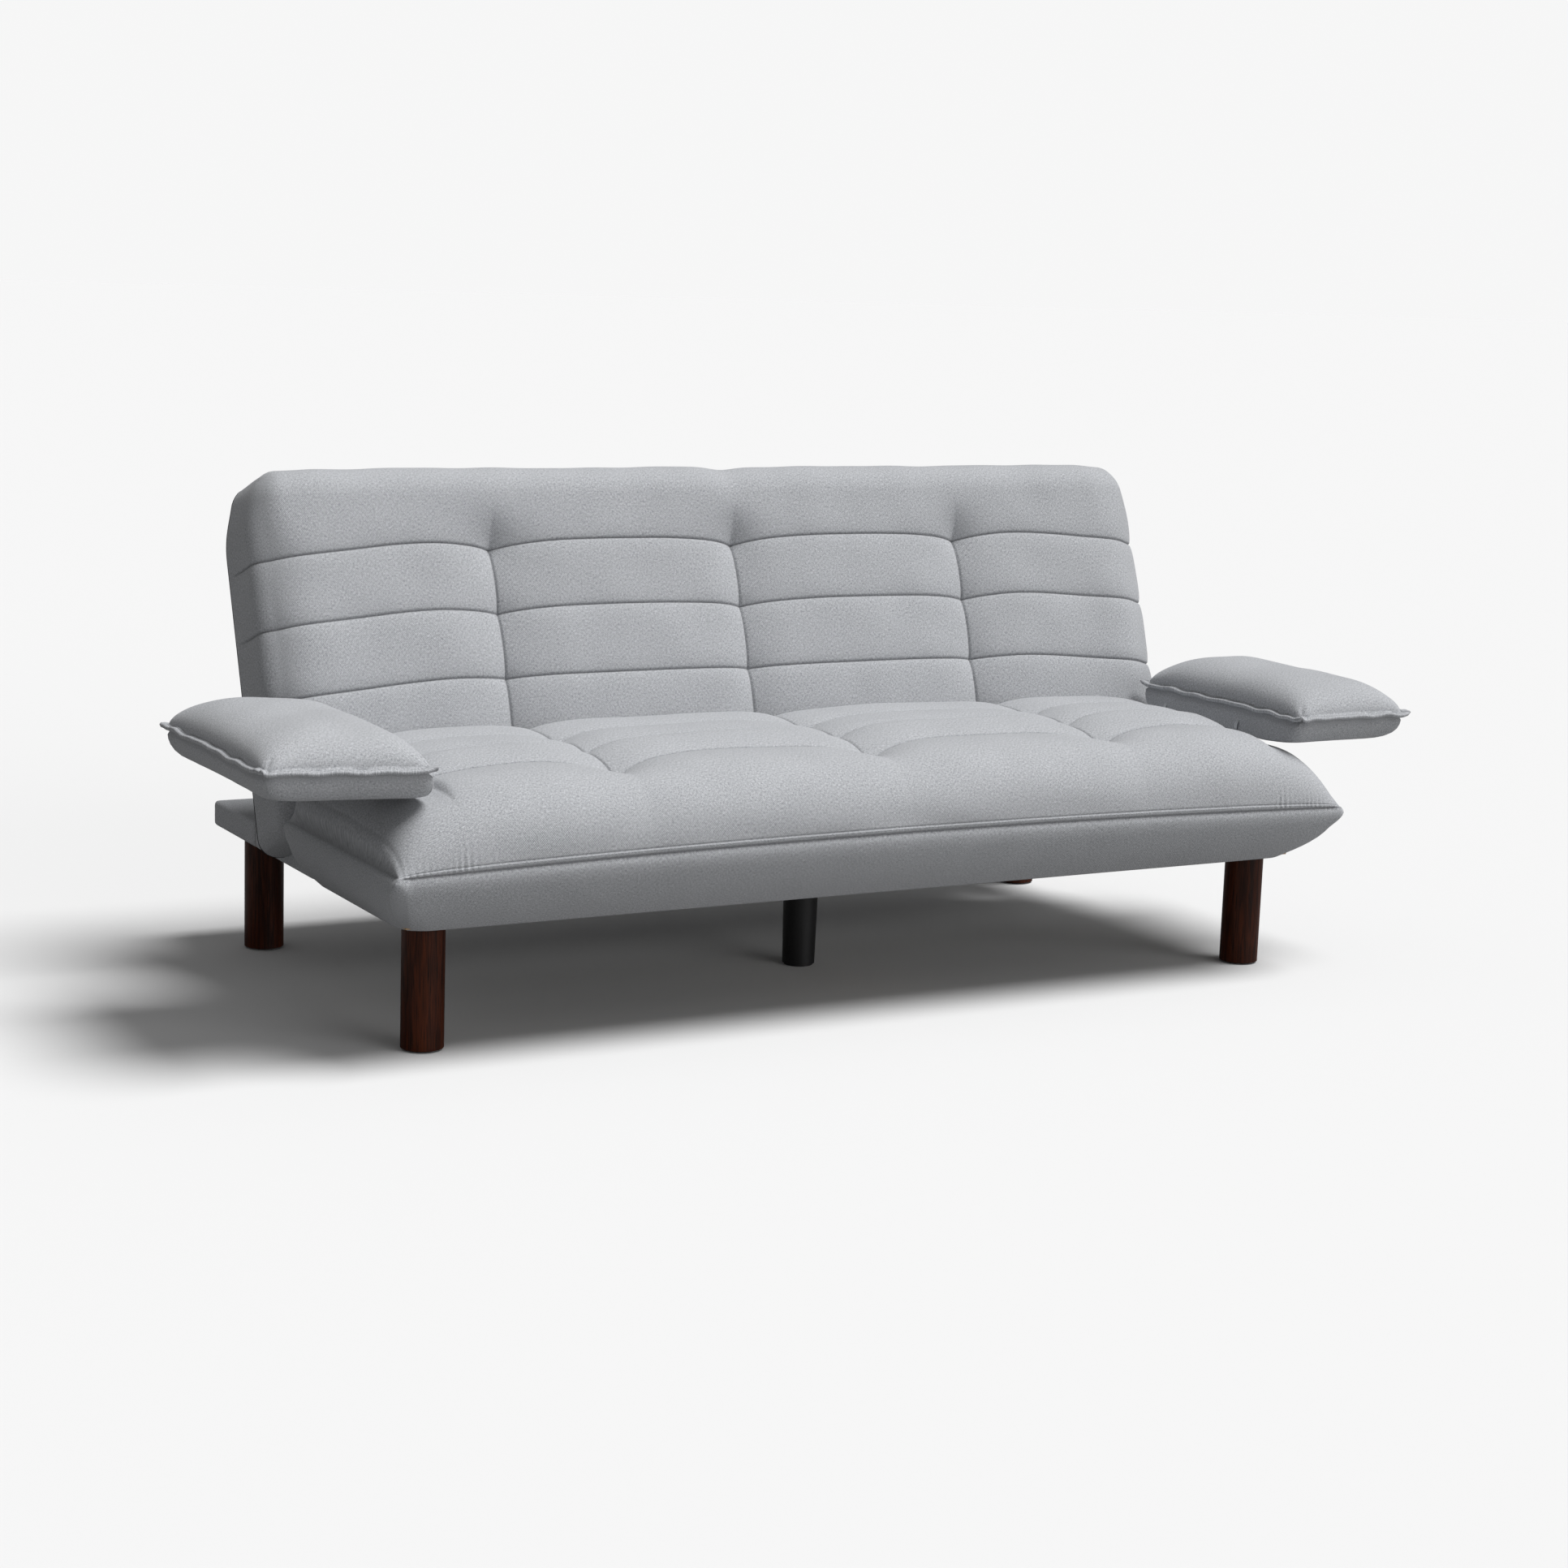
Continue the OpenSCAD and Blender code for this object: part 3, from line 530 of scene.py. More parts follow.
edge = border(seat_sheet)
edge_uv = border(seat_uv)
side = outward(edge_uv)
foot = edge.copy()
foot[:, 0] = edge[:, 0] * BASE_HALF / SEAT_HALF
foot_y = np.array([BASE_FRONT, drop_y[-1]])
foot[:, 1] = foot_y[0] + (edge[:, 1] - edge[:, 1].min()) / np.ptp(edge[:, 1]) * np.ptp(foot_y)
foot[:, 2] = SEAT_BASE + 0.0005
seat_rings, seat_ring_uvs, seat_ring_seam_and_shade = [], [], []


def corners_rounded(loop, radius):
    """A flat loop's points with its four corners drawn in to an arc of radius."""
    core = np.clip(loop, loop.min(0) + radius, loop.max(0) - radius)
    away = loop - core
    square = np.max(np.abs(away), axis=-1, keepdims=True)
    distance = np.maximum(np.linalg.norm(away, axis=-1, keepdims=True), 1e-9)
    return core + away * square / distance


BAND = 0.12
for share in (0.012, 0.03, 0.06, 0.10, 0.15, 0.2, 0.3, 0.4, 0.5, 0.6, 0.7, 0.8, 0.88, 0.94, 0.98, 1.0):
    ring = edge + (foot - edge) * share
    belly = 0.0016 * smooth(0.0, 0.05, share) + 0.015 * math.sin(math.pi * share ** 0.75)
    ring[:, :2] += belly * side
    ring[:, :2] = corners_rounded(ring[:, :2], 0.002 + 0.040 * smooth(0.0, 0.35, share))
    ring[:, 2] -= belly * 0.5
    seat_rings.append(ring)
    seat_ring_uvs.append(edge_uv + side * share * BAND)
    seat_ring_seam_and_shade.append(np.full(len(edge), felled_line(np.array(share * BAND))) * (share < 0.05))
for inset, height in ((0.004, 0.0), (0.010, 0.0), (0.012, 0.053)):
    ring = foot.copy()
    ring[:, :2] = drawn_in(corners_rounded(foot[:, :2], 0.042), inset)
    ring[:, 2] += height
    seat_rings.append(ring)
    seat_ring_uvs.append(edge_uv + side * (BAND + inset))
    seat_ring_seam_and_shade.append(np.zeros(len(edge)))
seat_cushion = closed_skin(
    "seat_cushion", seat_sheet, seat_rings, seat_uv, seat_ring_uvs, seat_seam_and_shade, seat_ring_seam_and_shade
)
seat_cushion.data.materials.append(grey_twill)
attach(seat_cushion, "root")
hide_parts("seat_cover", "seat_foam")


# --- Topstitching. The folded seams are stitched down with heavy grey thread, about five millimetres
# a stitch. Each stitch is its own short bead of thread, and the rows lie on the cloth beside the seam.
STITCH_PITCH = 0.0050
STITCH_LONG = 0.0036
STITCH_THICK = 0.0009
BEAD_RINGS = 5
BEAD_SIDES = 6
BEAD_TIP = 0.25


def stitch_row(name, path, body):
    """Beads along a path of points. Each bead is an ellipsoid, long along the path's direction t and
    round across it: centre + a t cos(p) + b sin(p) (u cos(q) + v sin(q)), with u and v square to t."""
    length = np.concatenate([[0.0], np.cumsum(np.linalg.norm(np.diff(path, axis=0), axis=1))])
    spots = np.arange(STITCH_PITCH / 2.0, length[-1], STITCH_PITCH)
    centre = np.stack([np.interp(spots, length, path[:, axis]) for axis in range(3)], -1)
    ahead = np.stack([np.interp(spots + 0.001, length, path[:, axis]) for axis in range(3)], -1) - centre
    ahead /= np.maximum(np.linalg.norm(ahead, axis=1, keepdims=True), 1e-9)
    across = np.cross(ahead, (0.0, 0.0, 1.0))
    across /= np.maximum(np.linalg.norm(across, axis=1, keepdims=True), 1e-9)
    above = np.cross(across, ahead)
    tip = np.linspace(BEAD_TIP, math.pi - BEAD_TIP, BEAD_RINGS)[:, None]
    spin = np.arange(BEAD_SIDES)[None, :] * 2.0 * math.pi / BEAD_SIDES
    along = np.cos(tip) * STITCH_LONG / 2.0 + 0.0 * spin
    beside = np.sin(tip) * np.cos(spin) * STITCH_THICK / 2.0
    over = np.sin(tip) * np.sin(spin) * STITCH_THICK / 2.0
    points = centre[:, None, :]
    for part, way in ((along, ahead), (beside, across), (over, above)):
        points = points + part.ravel()[None, :, None] * way[:, None, :]
    number = np.arange(BEAD_RINGS * BEAD_SIDES).reshape(BEAD_RINGS, BEAD_SIDES)
    after = np.roll(number, -1, axis=1)
    walls = np.stack([number[:-1], number[1:], after[1:], after[:-1]], -1).reshape(-1, 4)
    bead = walls.tolist() + [number[0].tolist(), number[-1][::-1].tolist()]
    faces = []
    for start in range(0, len(spots) * number.size, number.size):
        faces += [[corner + start for corner in face] for face in bead]
    mesh = bpy.data.meshes.new(name)
    mesh.from_pydata(points.reshape(-1, 3).tolist(), [], faces)
    shade_smooth(mesh)
    mesh.materials.append(grey_thread)
    row = linked(name, mesh)
    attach(row, body)


def thread(name):
    """Spun thread: a fine twist of light and dark with a dry, slightly fuzzy surface."""
    strand = Finish(name)
    twist = strand.noise(strand.in_place(), 2600.0, 1.0)
    return strand.surface(
        Base_Color=strand.mix(twist, (0.25, 0.256, 0.266, 1.0), (0.52, 0.53, 0.545, 1.0)),
        Roughness=0.8 + twist * 0.15,
        Normal=strand.bump(twist, 0.0002, 0.4),
    )


grey_thread = thread("grey_thread")
SEAM_TO_STITCH = 0.0062
clear_of_ends = np.abs(seat_x) < SEAT_HALF - 0.015
seam_line = [
    [np.interp(SEAM_TO_STITCH, seat_uv[column, :, 1], seat_sheet[column, :, axis]) for axis in range(3)]
    for column in np.flatnonzero(clear_of_ends)
]
stitch_row("seat_stitches", np.array(seam_line) + (0.0, -0.0003, 0.0002), "root")


# --- Backrest cushion. A padded cover over foam, a steel frame and slats: a long rounded box, sewn
# through in three rows and three columns below a smooth head roll. Slots beside its foot clear the
# hinges. The cover wraps the top and ends and is sewn to a black cloth panel that closes the rear.
BACK_HALF = seat_high.x - 0.0015
BACK_TOP = 0.4765
BACK_FOOT = -0.082
BACK_REAR = -0.0335
BACK_DEEP = BACK_FRONT - BACK_REAR
FRONT_RADIUS = 0.048
REAR_RADIUS = 0.028
END_RADIUS = 0.074
HEAD_RADIUS = 0.034
HEAD_TAPER = 0.026
BACK_ROWS = (0.348, 0.2485, 0.149)
BACK_ARCHES = (0.010, 0.007, 0.001)
SLOT = (0.707, 0.754)
SLOT_TOP = 0.061
SLOT_FRONT = 0.080


def reclined(x, forward, up):
    """Points of the backrest's own frame, forward and up along it from the pivot, in place."""
    y = PIVOT.y - forward * math.cos(LEAN) + up * math.sin(LEAN)
    z = PIVOT.z + forward * math.sin(LEAN) + up * math.cos(LEAN)
    return np.stack([x, y, z], -1)


def rounded_back(x, forward, up):
    """Draws a sharp box's points in to rounded edges: each goes out from its nearest core point to an
    ellipsoid, wider at the ends of the front. The top corners are tighter and taper in a little."""
    toward_front = smooth(BACK_REAR, BACK_FRONT, forward)
    end_radius = END_RADIUS + (HEAD_RADIUS - END_RADIUS) * smooth(0.34, 0.46, up)
    radius_x = REAR_RADIUS + (end_radius - REAR_RADIUS) * toward_front
    radius = REAR_RADIUS + (FRONT_RADIUS - REAR_RADIUS) * toward_front
    core_x = np.clip(x, -BACK_HALF + radius_x, BACK_HALF - radius_x)
    core_f = np.clip(forward, BACK_REAR + REAR_RADIUS, BACK_FRONT - radius)
    core_u = np.clip(up, BACK_FOOT + radius, BACK_TOP - radius)
    radii = np.stack([radius_x, radius, radius], -1)
    away = np.stack([x - core_x, forward - core_f, up - core_u], -1) / radii
    away /= np.maximum(np.linalg.norm(away, axis=-1, keepdims=True), 1e-9)
    shape = np.stack([core_x, core_f, core_u], -1) + away * radii
    shape[..., 0] *= 1.0 - HEAD_TAPER * smooth(0.36, 0.477, shape[..., 2]) ** 1.4
    normal = away / radii
    return shape, normal / np.maximum(np.linalg.norm(normal, axis=-1, keepdims=True), 1e-9)


def end_dip(x):
    """How far the row seams droop towards the ends of the backrest."""
    return 0.020 * smooth(0.48, 0.80, np.abs(x))


def back_surface(x, forward, up):
    """The quilted backrest: rounded box, pressed in by its stitching and swollen between it."""
    shape, normal = rounded_back(x, forward, up)
    rows, arches = [-row for row in BACK_ROWS], [-arch for arch in BACK_ARCHES]
    # quilted also gives the seam mask, which paints the seams' dark thread and painted shade in their creases into
    # the cover's colour.
    pull, sewn = quilted(
        x, -up - end_dip(x), rows, arches,
        row_pull=0.0042, column_pull=0.0165, tuft_pull=0.0120, fade=0.080, spread=0.011,
    )
    inside = smooth(-0.06, 0.02, up) * smooth(-0.01, 0.04, forward)
    pull = pull * inside + 0.0009 * rumpled(x, up, 0.15, 7) * smooth(0.0, 0.05, forward)
    swell = 0.009 * smooth(0.0, 0.10, BACK_HALF - np.abs(x)) * smooth(0.02, 0.16, up)
    swell = swell * smooth(0.06, 0.12, forward)
    notch = 0.004 * np.exp(-((x / 0.03) ** 2)) * smooth(0.40, 0.47, up)
    shape = shape - normal * (pull - swell + notch)[..., None]
    return reclined(shape[..., 0], shape[..., 1], shape[..., 2]), sewn * inside


back_x = grid_lines(-BACK_HALF, BACK_HALF, seams=TUFT_COLUMNS, **COLUMN_GRID)
back_u = grid_lines(BACK_FOOT, BACK_TOP, seams=BACK_ROWS, **ROW_GRID)
x, up = np.meshgrid(back_x, back_u, indexing="ij")
levels = [BACK_FOOT, *BACK_ROWS[::-1], BACK_TOP]
up = up + arched(x) * np.interp(up, levels, [0.0, *BACK_ARCHES[::-1], 0.0])
up = up - end_dip(x) * np.interp(up, levels, [0.0, 1.0, 1.0, 1.0, 0.0])
back_sheet, back_seam_and_shade = back_surface(x, np.full_like(x, BACK_FRONT), up)
back_uv = np.stack([x, up], -1)
edge_x, edge_up, edge_uv = border(x), border(up), border(back_uv)
side = outward(edge_uv)
back_rings, back_ring_uvs, back_ring_seam_and_shade = [], [], []
steps = [(0.0, deep) for deep in (*np.linspace(0.006, 0.15, 25), BACK_DEEP)]
steps += [(inset, BACK_DEEP) for inset in (0.006, 0.012, 0.020, 0.028, 0.036)]
for inset, deep in steps:
    ring_x, ring_up = drawn_in(np.column_stack([edge_x, edge_up]), inset).T
    ring, ring_seam_and_shade = back_surface(ring_x, np.full_like(edge_x, BACK_FRONT - deep), ring_up)
    back_rings.append(ring)
    back_ring_uvs.append(edge_uv + side * (deep + inset))
    back_ring_seam_and_shade.append(ring_seam_and_shade)
back_cushion = closed_skin(
    "back_cushion", back_sheet, back_rings, back_uv, back_ring_uvs, back_seam_and_shade, back_ring_seam_and_shade
)
back_cushion.data.materials.append(grey_twill)


def cut_away(piece, points, faces):
    """Cuts the closed shape of these points and faces out of a piece."""
    mesh = bpy.data.meshes.new("cutter")
    mesh.from_pydata(points.tolist(), [], faces)
    mesh.update()
    cutter = linked("cutter", mesh)
    cut = piece.modifiers.new("cut", "BOOLEAN")
    cut.operation = "DIFFERENCE"
    cut.solver = "EXACT"
    cut.object = cutter
    bpy.context.view_layer.update()
    trimmed = bpy.data.meshes.new_from_object(piece.evaluated_get(bpy.context.evaluated_depsgraph_get()))
    piece.modifiers.clear()
    piece.data = trimmed
    bpy.data.objects.remove(cutter)


def cut_hinge_slots(piece):
    """Cuts a box for each hinge, set out in the backrest's own frame, out of a piece's foot."""
    faces = [(0, 1, 3, 2), (4, 6, 7, 5), (0, 4, 5, 1), (2, 3, 7, 6), (0, 2, 6, 4), (1, 5, 7, 3)]
    forward, up = (BACK_REAR - 0.02, SLOT_FRONT), (BACK_FOOT - 0.02, SLOT_TOP)
    for sign in (-1, 1):
        sides = sorted((sign * SLOT[0], sign * SLOT[1]))
        corners = np.array([(i, j, k) for i in sides for j in forward for k in up])
        cut_away(piece, reclined(*corners.T), faces)


cut_hinge_slots(back_cushion)
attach(back_cushion, "backrest")
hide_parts("back_cover", "back_foam")


# --- Rear panel. Thin black lining cloth closes the back of the backrest. It laps a little way round
# the rear edge and is sewn down there, and it is slit at the hinges like the cover under it.
LAP = 0.020
LINING = 0.0006
LINING_CLEAR = 0.0002


def back_shell(deep, inset, lift):
    """A ring round the backrest at a depth from its front and an inset from its edge, lifted off it."""
    ring_x, ring_up = drawn_in(np.column_stack([edge_x, edge_up]), inset).T
    shape, normal = rounded_back(ring_x, np.full_like(edge_x, BACK_FRONT - deep), ring_up)
    shape = shape + normal * lift
    return reclined(shape[:, 0], shape[:, 1], shape[:, 2])


def thread_rings(name, rings, ring_uvs):
    """A shell through a list of rings, its first and last ring closed by flat faces."""
    count = len(rings[0])
    faces = []
    for step in range(len(rings) - 1):
        here = step * count + np.arange(count)
        faces += np.stack([np.roll(here, -1), here, here + count, np.roll(here + count, -1)], -1).tolist()
    faces.append(list(range(count)))
    faces.append(list(range((len(rings) - 1) * count, len(rings) * count))[::-1])
    return linked(name, cloth_mesh(name, np.concatenate(rings), faces, np.concatenate(ring_uvs)))


laps = [(BACK_DEEP - LAP * (1.0 - share), 0.0) for share in (0.0, 0.25, 0.5, 0.75, 1.0)]
laps += [(BACK_DEEP, inset) for inset in (0.007, 0.014, 0.021, 0.028, 0.036, 0.10)]
under = [back_shell(deep, inset, LINING_CLEAR) for deep, inset in laps[::-1]]
over = [back_shell(deep, inset, LINING_CLEAR + LINING) for deep, inset in laps]
lap_uvs = [edge_uv + side * (deep - inset) for deep, inset in laps]
rear_panel = thread_rings("rear_panel", under + over, lap_uvs[::-1] + lap_uvs)
cut_hinge_slots(rear_panel)


def lining(name):
    """Black spun lining: a fine felted mottle, faintly dimpled where it was pressed."""
    cloth = Finish(name)
    place = cloth.on_cloth()
    felt = cloth.noise(place, 900.0, 3.0)
    dimple = ((cloth.noise(place, 260.0, 0.0) - 0.5) * 4.0).clamped()
    return cloth.surface(
        Base_Color=cloth.mix(felt, (0.006, 0.006, 0.007, 1.0), (0.030, 0.030, 0.033, 1.0)),
        Roughness=0.86 + felt * 0.12,
        Normal=cloth.bump(felt + dimple, 0.0004, 0.5),
    )


black_lining = lining("black_lining")
rear_panel.data.materials.append(black_lining)
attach(rear_panel, "backrest")


# --- Arm pillows. Each is a boxed pillow over a board: a full domed top, a flat self-flange sewn
# proud all round with its corners left as ears, and a shallow band that tucks in to a flat floor.
ARM_REACH = {1: (arm_low.x + 0.001, arm_high.x - 0.004), -1: (arm_low.x + 0.001, arm_high.x + 0.018)}
ARM_AXIS = joint_place("arm_right_lift")
ARM_TILT = math.radians(2.0)
FLANGE = 0.009
FLANGE_LOW = 0.397
FLANGE_HIGH = 0.405
DOME = 0.050
DOME_GRID = (61, 91)
GRID_BUNCH = 0.96
ARM_FLOOR = arm_low.z + 0.0045


def arm_outline(u, v, reach, insets, radius):
    """A square loop's points u, v from -1 to 1 spread over the arm's plan, drawn in by insets from its
    inner, outer and end edges, with corners rounded to radius and sides pulled in between them."""
    low_x, high_x = reach[0] + insets[0], reach[1] - insets[1]
    low_y, high_y = arm_low.y + insets[2], arm_high.y - insets[2]
    middle = np.array([(low_x + high_x) / 2, (low_y + high_y) / 2])
    half = np.array([(high_x - low_x) / 2, (high_y - low_y) / 2])
    flat = np.stack([u * half[0], v * half[1]], -1)
    core = np.clip(flat, -half + radius, half - radius)
    away = flat - core
    size = np.linalg.norm(away, axis=-1, keepdims=True)
    box = np.max(np.abs(away), axis=-1, keepdims=True)
    flat = core + away * box / np.maximum(size, 1e-9)
    waist = np.stack([1.0 - 0.035 * (1.0 - v**2), 1.0 - 0.022 * (1.0 - u**2)], -1)
    return flat * waist + middle


def cloth_lengths(sheet):
    """UVs for a domed sheet: the length of cloth along each grid line from the sheet's middle lines."""
    uvs = []
    for axis in (0, 1):
        steps = np.linalg.norm(np.diff(sheet, axis=axis), axis=-1)
        start = np.zeros_like(np.take(steps, [0], axis))
        along = np.concatenate([start, np.cumsum(steps, axis)], axis)
        uvs.append(along - np.take(along, [sheet.shape[axis] // 2], axis))
    return np.stack(uvs, -1)


def tilted(points):
    """A right-hand pillow's points, its outer edge lifted by a small turn about the hinge."""
    out, rise = points[..., 0] - ARM_AXIS.x, points[..., 2] - ARM_AXIS.z
    moved = points.copy()
    moved[..., 0] = ARM_AXIS.x + out * math.cos(ARM_TILT) - rise * math.sin(ARM_TILT)
    moved[..., 2] = ARM_AXIS.z + out * math.sin(ARM_TILT) + rise * math.cos(ARM_TILT)
    return moved


def arm_pillow(name, sign, seed):
    """Dome, flange, band and floor of one pillow, on the right for sign 1 and the left for -1."""
    angles = [np.linspace(-math.pi / 2, math.pi / 2, count) * GRID_BUNCH for count in DOME_GRID]
    u, v = np.meshgrid(*[np.sin(angle) / np.sin(angle[-1]) for angle in angles], indexing="ij")
    reach = ARM_REACH[sign]
    plan = arm_outline(u, v, reach, (FLANGE, FLANGE, FLANGE), 0.020)
    full = (np.maximum(1.0 - np.abs(u) ** 3.2, 0.0) * np.maximum(1.0 - np.abs(v) ** 5.0, 0.0)) ** 0.50
    lump = 0.0012 * rumpled(plan[..., 0], plan[..., 1], 0.11, seed)
    height = FLANGE_HIGH - 0.001 + (DOME + lump) * full
    sheet = np.concatenate([plan, height[..., None]], -1)
    sheet_uv = cloth_lengths(sheet)
    edge_u, edge_v, edge_uv = border(u), border(v), border(sheet_uv)
    loop = np.arange(len(edge_u)) / len(edge_u) * 2 * math.pi
    draw = np.random.default_rng(seed)
    wave = sum(draw.uniform(0.4, 1.0) * np.sin(loop * k + draw.uniform(0, 6.28)) for k in (5, 9, 14, 22, 31))
    wave = 0.0009 * wave
    ear = (np.abs(edge_u) * np.abs(edge_v)) ** 14
    side = outward(np.stack([edge_u, edge_v], -1))
    rings, uvs = [], []
    profile = [
        (FLANGE * 0.98, 0.0000, 1.0, 0.020), (FLANGE * 0.80, -0.0008, 1.0, 0.020),
        (FLANGE * 0.45, -0.0006, 1.0, 0.019), (0.0015, -0.0004, 1.0, 0.017),
        (0.0000, -0.0030, 1.0, 0.017), (0.0015, -0.0060, 1.0, 0.017),
        (FLANGE * 0.6, -0.0070, 1.0, 0.020), (FLANGE * 1.1, -0.0080, 0.7, 0.022),
    ]
    for inset, drop, sway, radius in profile:
        flat = arm_outline(edge_u, edge_v, reach, (inset, inset, inset), radius)
        proud = 1.0 - inset / FLANGE
        flat += side * (ear * 0.0015 * proud)[:, None]
        rings.append(np.column_stack([flat, FLANGE_HIGH + drop + wave * sway + ear * 0.003 * proud]))
        uvs.append(edge_uv + side * (0.010 - inset))
    for lean in np.radians((6, 14, 26, 40, 54, 66, 76, 84, 90)):
        drop, tuck = math.sin(lean) ** 0.8, 1.0 - math.cos(lean) ** 0.8
        insets = (0.006 - 0.0095 * drop**0.5, 0.007 + 0.036 * tuck, 0.008 + 0.038 * tuck)
        flat = arm_outline(edge_u, edge_v, reach, insets, 0.022 + 0.030 * tuck)
        rise = FLANGE_LOW + (ARM_FLOOR - FLANGE_LOW) * drop + wave * (1 - drop)
        rings.append(np.column_stack([flat, rise]))
        uvs.append(edge_uv + side * (0.02 + 0.045 * drop))
    flat = arm_outline(edge_u, edge_v, reach, (0.012, 0.060, 0.065), 0.045)
    rings.append(np.column_stack([flat, np.full(len(flat), ARM_FLOOR - 0.004)]))
    uvs.append(edge_uv + side * 0.085)
    if sign < 0:
        # The left pillow is a mirrored right one, so its points run the other way round.
        sheet, rings = tilted(sheet), [tilted(ring) for ring in rings]
        number = np.arange(u.size).reshape(u.shape)
        place = np.zeros(u.size, int)
        place[border(number)] = np.arange(len(edge_u))
        order = place[border(number[::-1])]
        sheet, sheet_uv = sheet[::-1] * (-1, 1, 1), sheet_uv[::-1]
        rings = [ring[order] * (-1, 1, 1) for ring in rings]
        uvs = [uv[order] for uv in uvs]
    stitch_line = np.concatenate([rings[1], rings[1][:1]]) + (0.0, 0.0, 0.0003)
    stitch_row(name.replace("pillow", "stitches"), stitch_line, name.replace("pillow_", ""))
    return closed_skin(name, sheet, rings, sheet_uv, uvs)


for sign, word in ((-1, "left"), (1, "right")):
    pillow = arm_pillow(f"arm_pillow_{word}", sign, 11 + sign)
    pillow.data.materials.append(grey_twill)
    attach(pillow, f"arm_{word}")
    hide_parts(f"arm_cover_{word}", f"arm_foam_{word}")


# --- Base wraps. The rear deck and the bare stretches of the side rails are wrapped in the same
# twill over a thin wadding and stapled underneath, so their edges are soft.
WRAP_GRID = {"step": 0.008, "fine": 0.002, "reach": 0.006}
WRAP_RADIUS = 0.007
WRAPS = {
    "deck_cover": "deck_wrap",
    "side_cover_left": "side_wrap_left",
    "side_cover_right": "side_wrap_right",
}


def wrapped_box(name, low, high, radius):
    """A box with rounded edges, between two corners, each point drawn in to radius from its core."""
    spans = [grid_lines(low[axis], high[axis], seams=(low[axis], high[axis]), **WRAP_GRID) for axis in (0, 1)]
    x, y = np.meshgrid(*spans, indexing="ij")

    def soften(x, y, z):
        spot = np.stack([x, y, z], -1)
        core = np.clip(spot, np.array(low) + radius, np.array(high) - radius)
        away = spot - core
        size = np.maximum(np.linalg.norm(away, axis=-1, keepdims=True), 1e-9)
        return core + away / size * radius

    uv = np.stack([x, y], -1)
    edge_x, edge_y, edge_uv = border(x), border(y), border(uv)
    side = outward(edge_uv)
    rings, uvs = [], []
    for drop in np.linspace(0.0, high[2] - low[2], 12)[1:]:
        rings.append(soften(edge_x, edge_y, np.full_like(edge_x, high[2] - drop)))
        uvs.append(edge_uv + side * drop)
    for inset in (0.003, 0.006, radius):
        flat_x, flat_y = drawn_in(np.column_stack([edge_x, edge_y]), inset).T
        rings.append(soften(flat_x, flat_y, np.full_like(edge_x, low[2])))
        uvs.append(edge_uv + side * (high[2] - low[2] + inset))
    return closed_skin(name, soften(x, y, np.full_like(x, high[2])), rings, uv, uvs)


for node, name in WRAPS.items():
    low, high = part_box(node)
    wrap = wrapped_box(name, tuple(low), tuple(high), WRAP_RADIUS)
    wrap.data.materials.append(grey_twill)
    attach(wrap, "root")
    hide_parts(node)


# --- Dust cloth. The same black lining is stapled under the base, cut out round the front legs and
# the centre leg, and it hangs a few millimetres in the middle of each bay.
bed_low, bed_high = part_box("dust_cover")
SAG = 0.003
BED_CLEAR = 0.001
LEG_ROOM = 0.003
HOLE_SIDES = 64
sheet_x = np.linspace(bed_low.x, bed_high.x, 121)
sheet_y = np.linspace(bed_low.y, bed_high.y, 41)
x, y = np.meshgrid(sheet_x, sheet_y, indexing="ij")
across, along = (x - bed_low.x) / np.ptp(sheet_x), (y - bed_low.y) / np.ptp(sheet_y)
hang = SAG * np.abs(np.sin(2.0 * math.pi * across)) * np.sin(math.pi * along)
hang += 0.0003 * rumpled(x, y, 0.07, 21) * smooth(0.0, 0.1, across) * smooth(1.0, 0.9, across)
under = bed_low.z + SAG + BED_CLEAR - hang
points = np.concatenate([np.stack([x, y, face], -1).reshape(-1, 3) for face in (under, under + LINING)])
number = np.arange(x.size).reshape(x.shape)
lower = np.stack([number[:-1, :-1], number[:-1, 1:], number[1:, 1:], number[1:, :-1]], -1).reshape(-1, 4)
rim = border(number)
walls = np.stack([rim, np.roll(rim, -1), np.roll(rim, -1) + x.size, rim + x.size], -1)
faces = np.concatenate([lower, lower[:, ::-1] + x.size, walls]).tolist()
mesh = cloth_mesh("dust_cloth", points, faces, points[:, :2])
shade_smooth(mesh)
dust_cloth = linked("dust_cloth", mesh)
around = np.linspace(0.0, 2.0 * math.pi, HOLE_SIDES + 1)[:-1]
here = np.arange(HOLE_SIDES)
after = np.roll(here, -1)
drum_faces = np.stack([here, after, after + HOLE_SIDES, here + HOLE_SIDES], -1).tolist()
drum_faces += [here[::-1].tolist(), (here + HOLE_SIDES).tolist()]
for leg in ("leg_front_left", "leg_front_right", "leg_centre"):
    low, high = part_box(leg)
    middle, radius = (low + high) / 2.0, (high.x - low.x) / 2.0 + LEG_ROOM
    ring = np.column_stack([middle.x + radius * np.cos(around), middle.y + radius * np.sin(around)])
    drum = [np.column_stack([ring, np.full(HOLE_SIDES, bed_low.z + rise)]) for rise in (-0.02, 0.02)]
    cut_away(dust_cloth, np.concatenate(drum), drum_faces)
dust_cloth.data.materials.append(black_lining)
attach(dust_cloth, "root")
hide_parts("dust_cover")


# --- Legs. Turned hardwood, stained a dark red-brown and sprayed with satin lacquer. The grain runs
# up each leg, and the stain sits darker in the pores.
def finish_nodes(material, *nodes):
    """Gives CAD nodes, whose shapes stay as they are, their real finish."""
    for node in nodes:
        mesh = frame["nodes"][node].data
        mesh.materials.clear()
        mesh.materials.append(material)


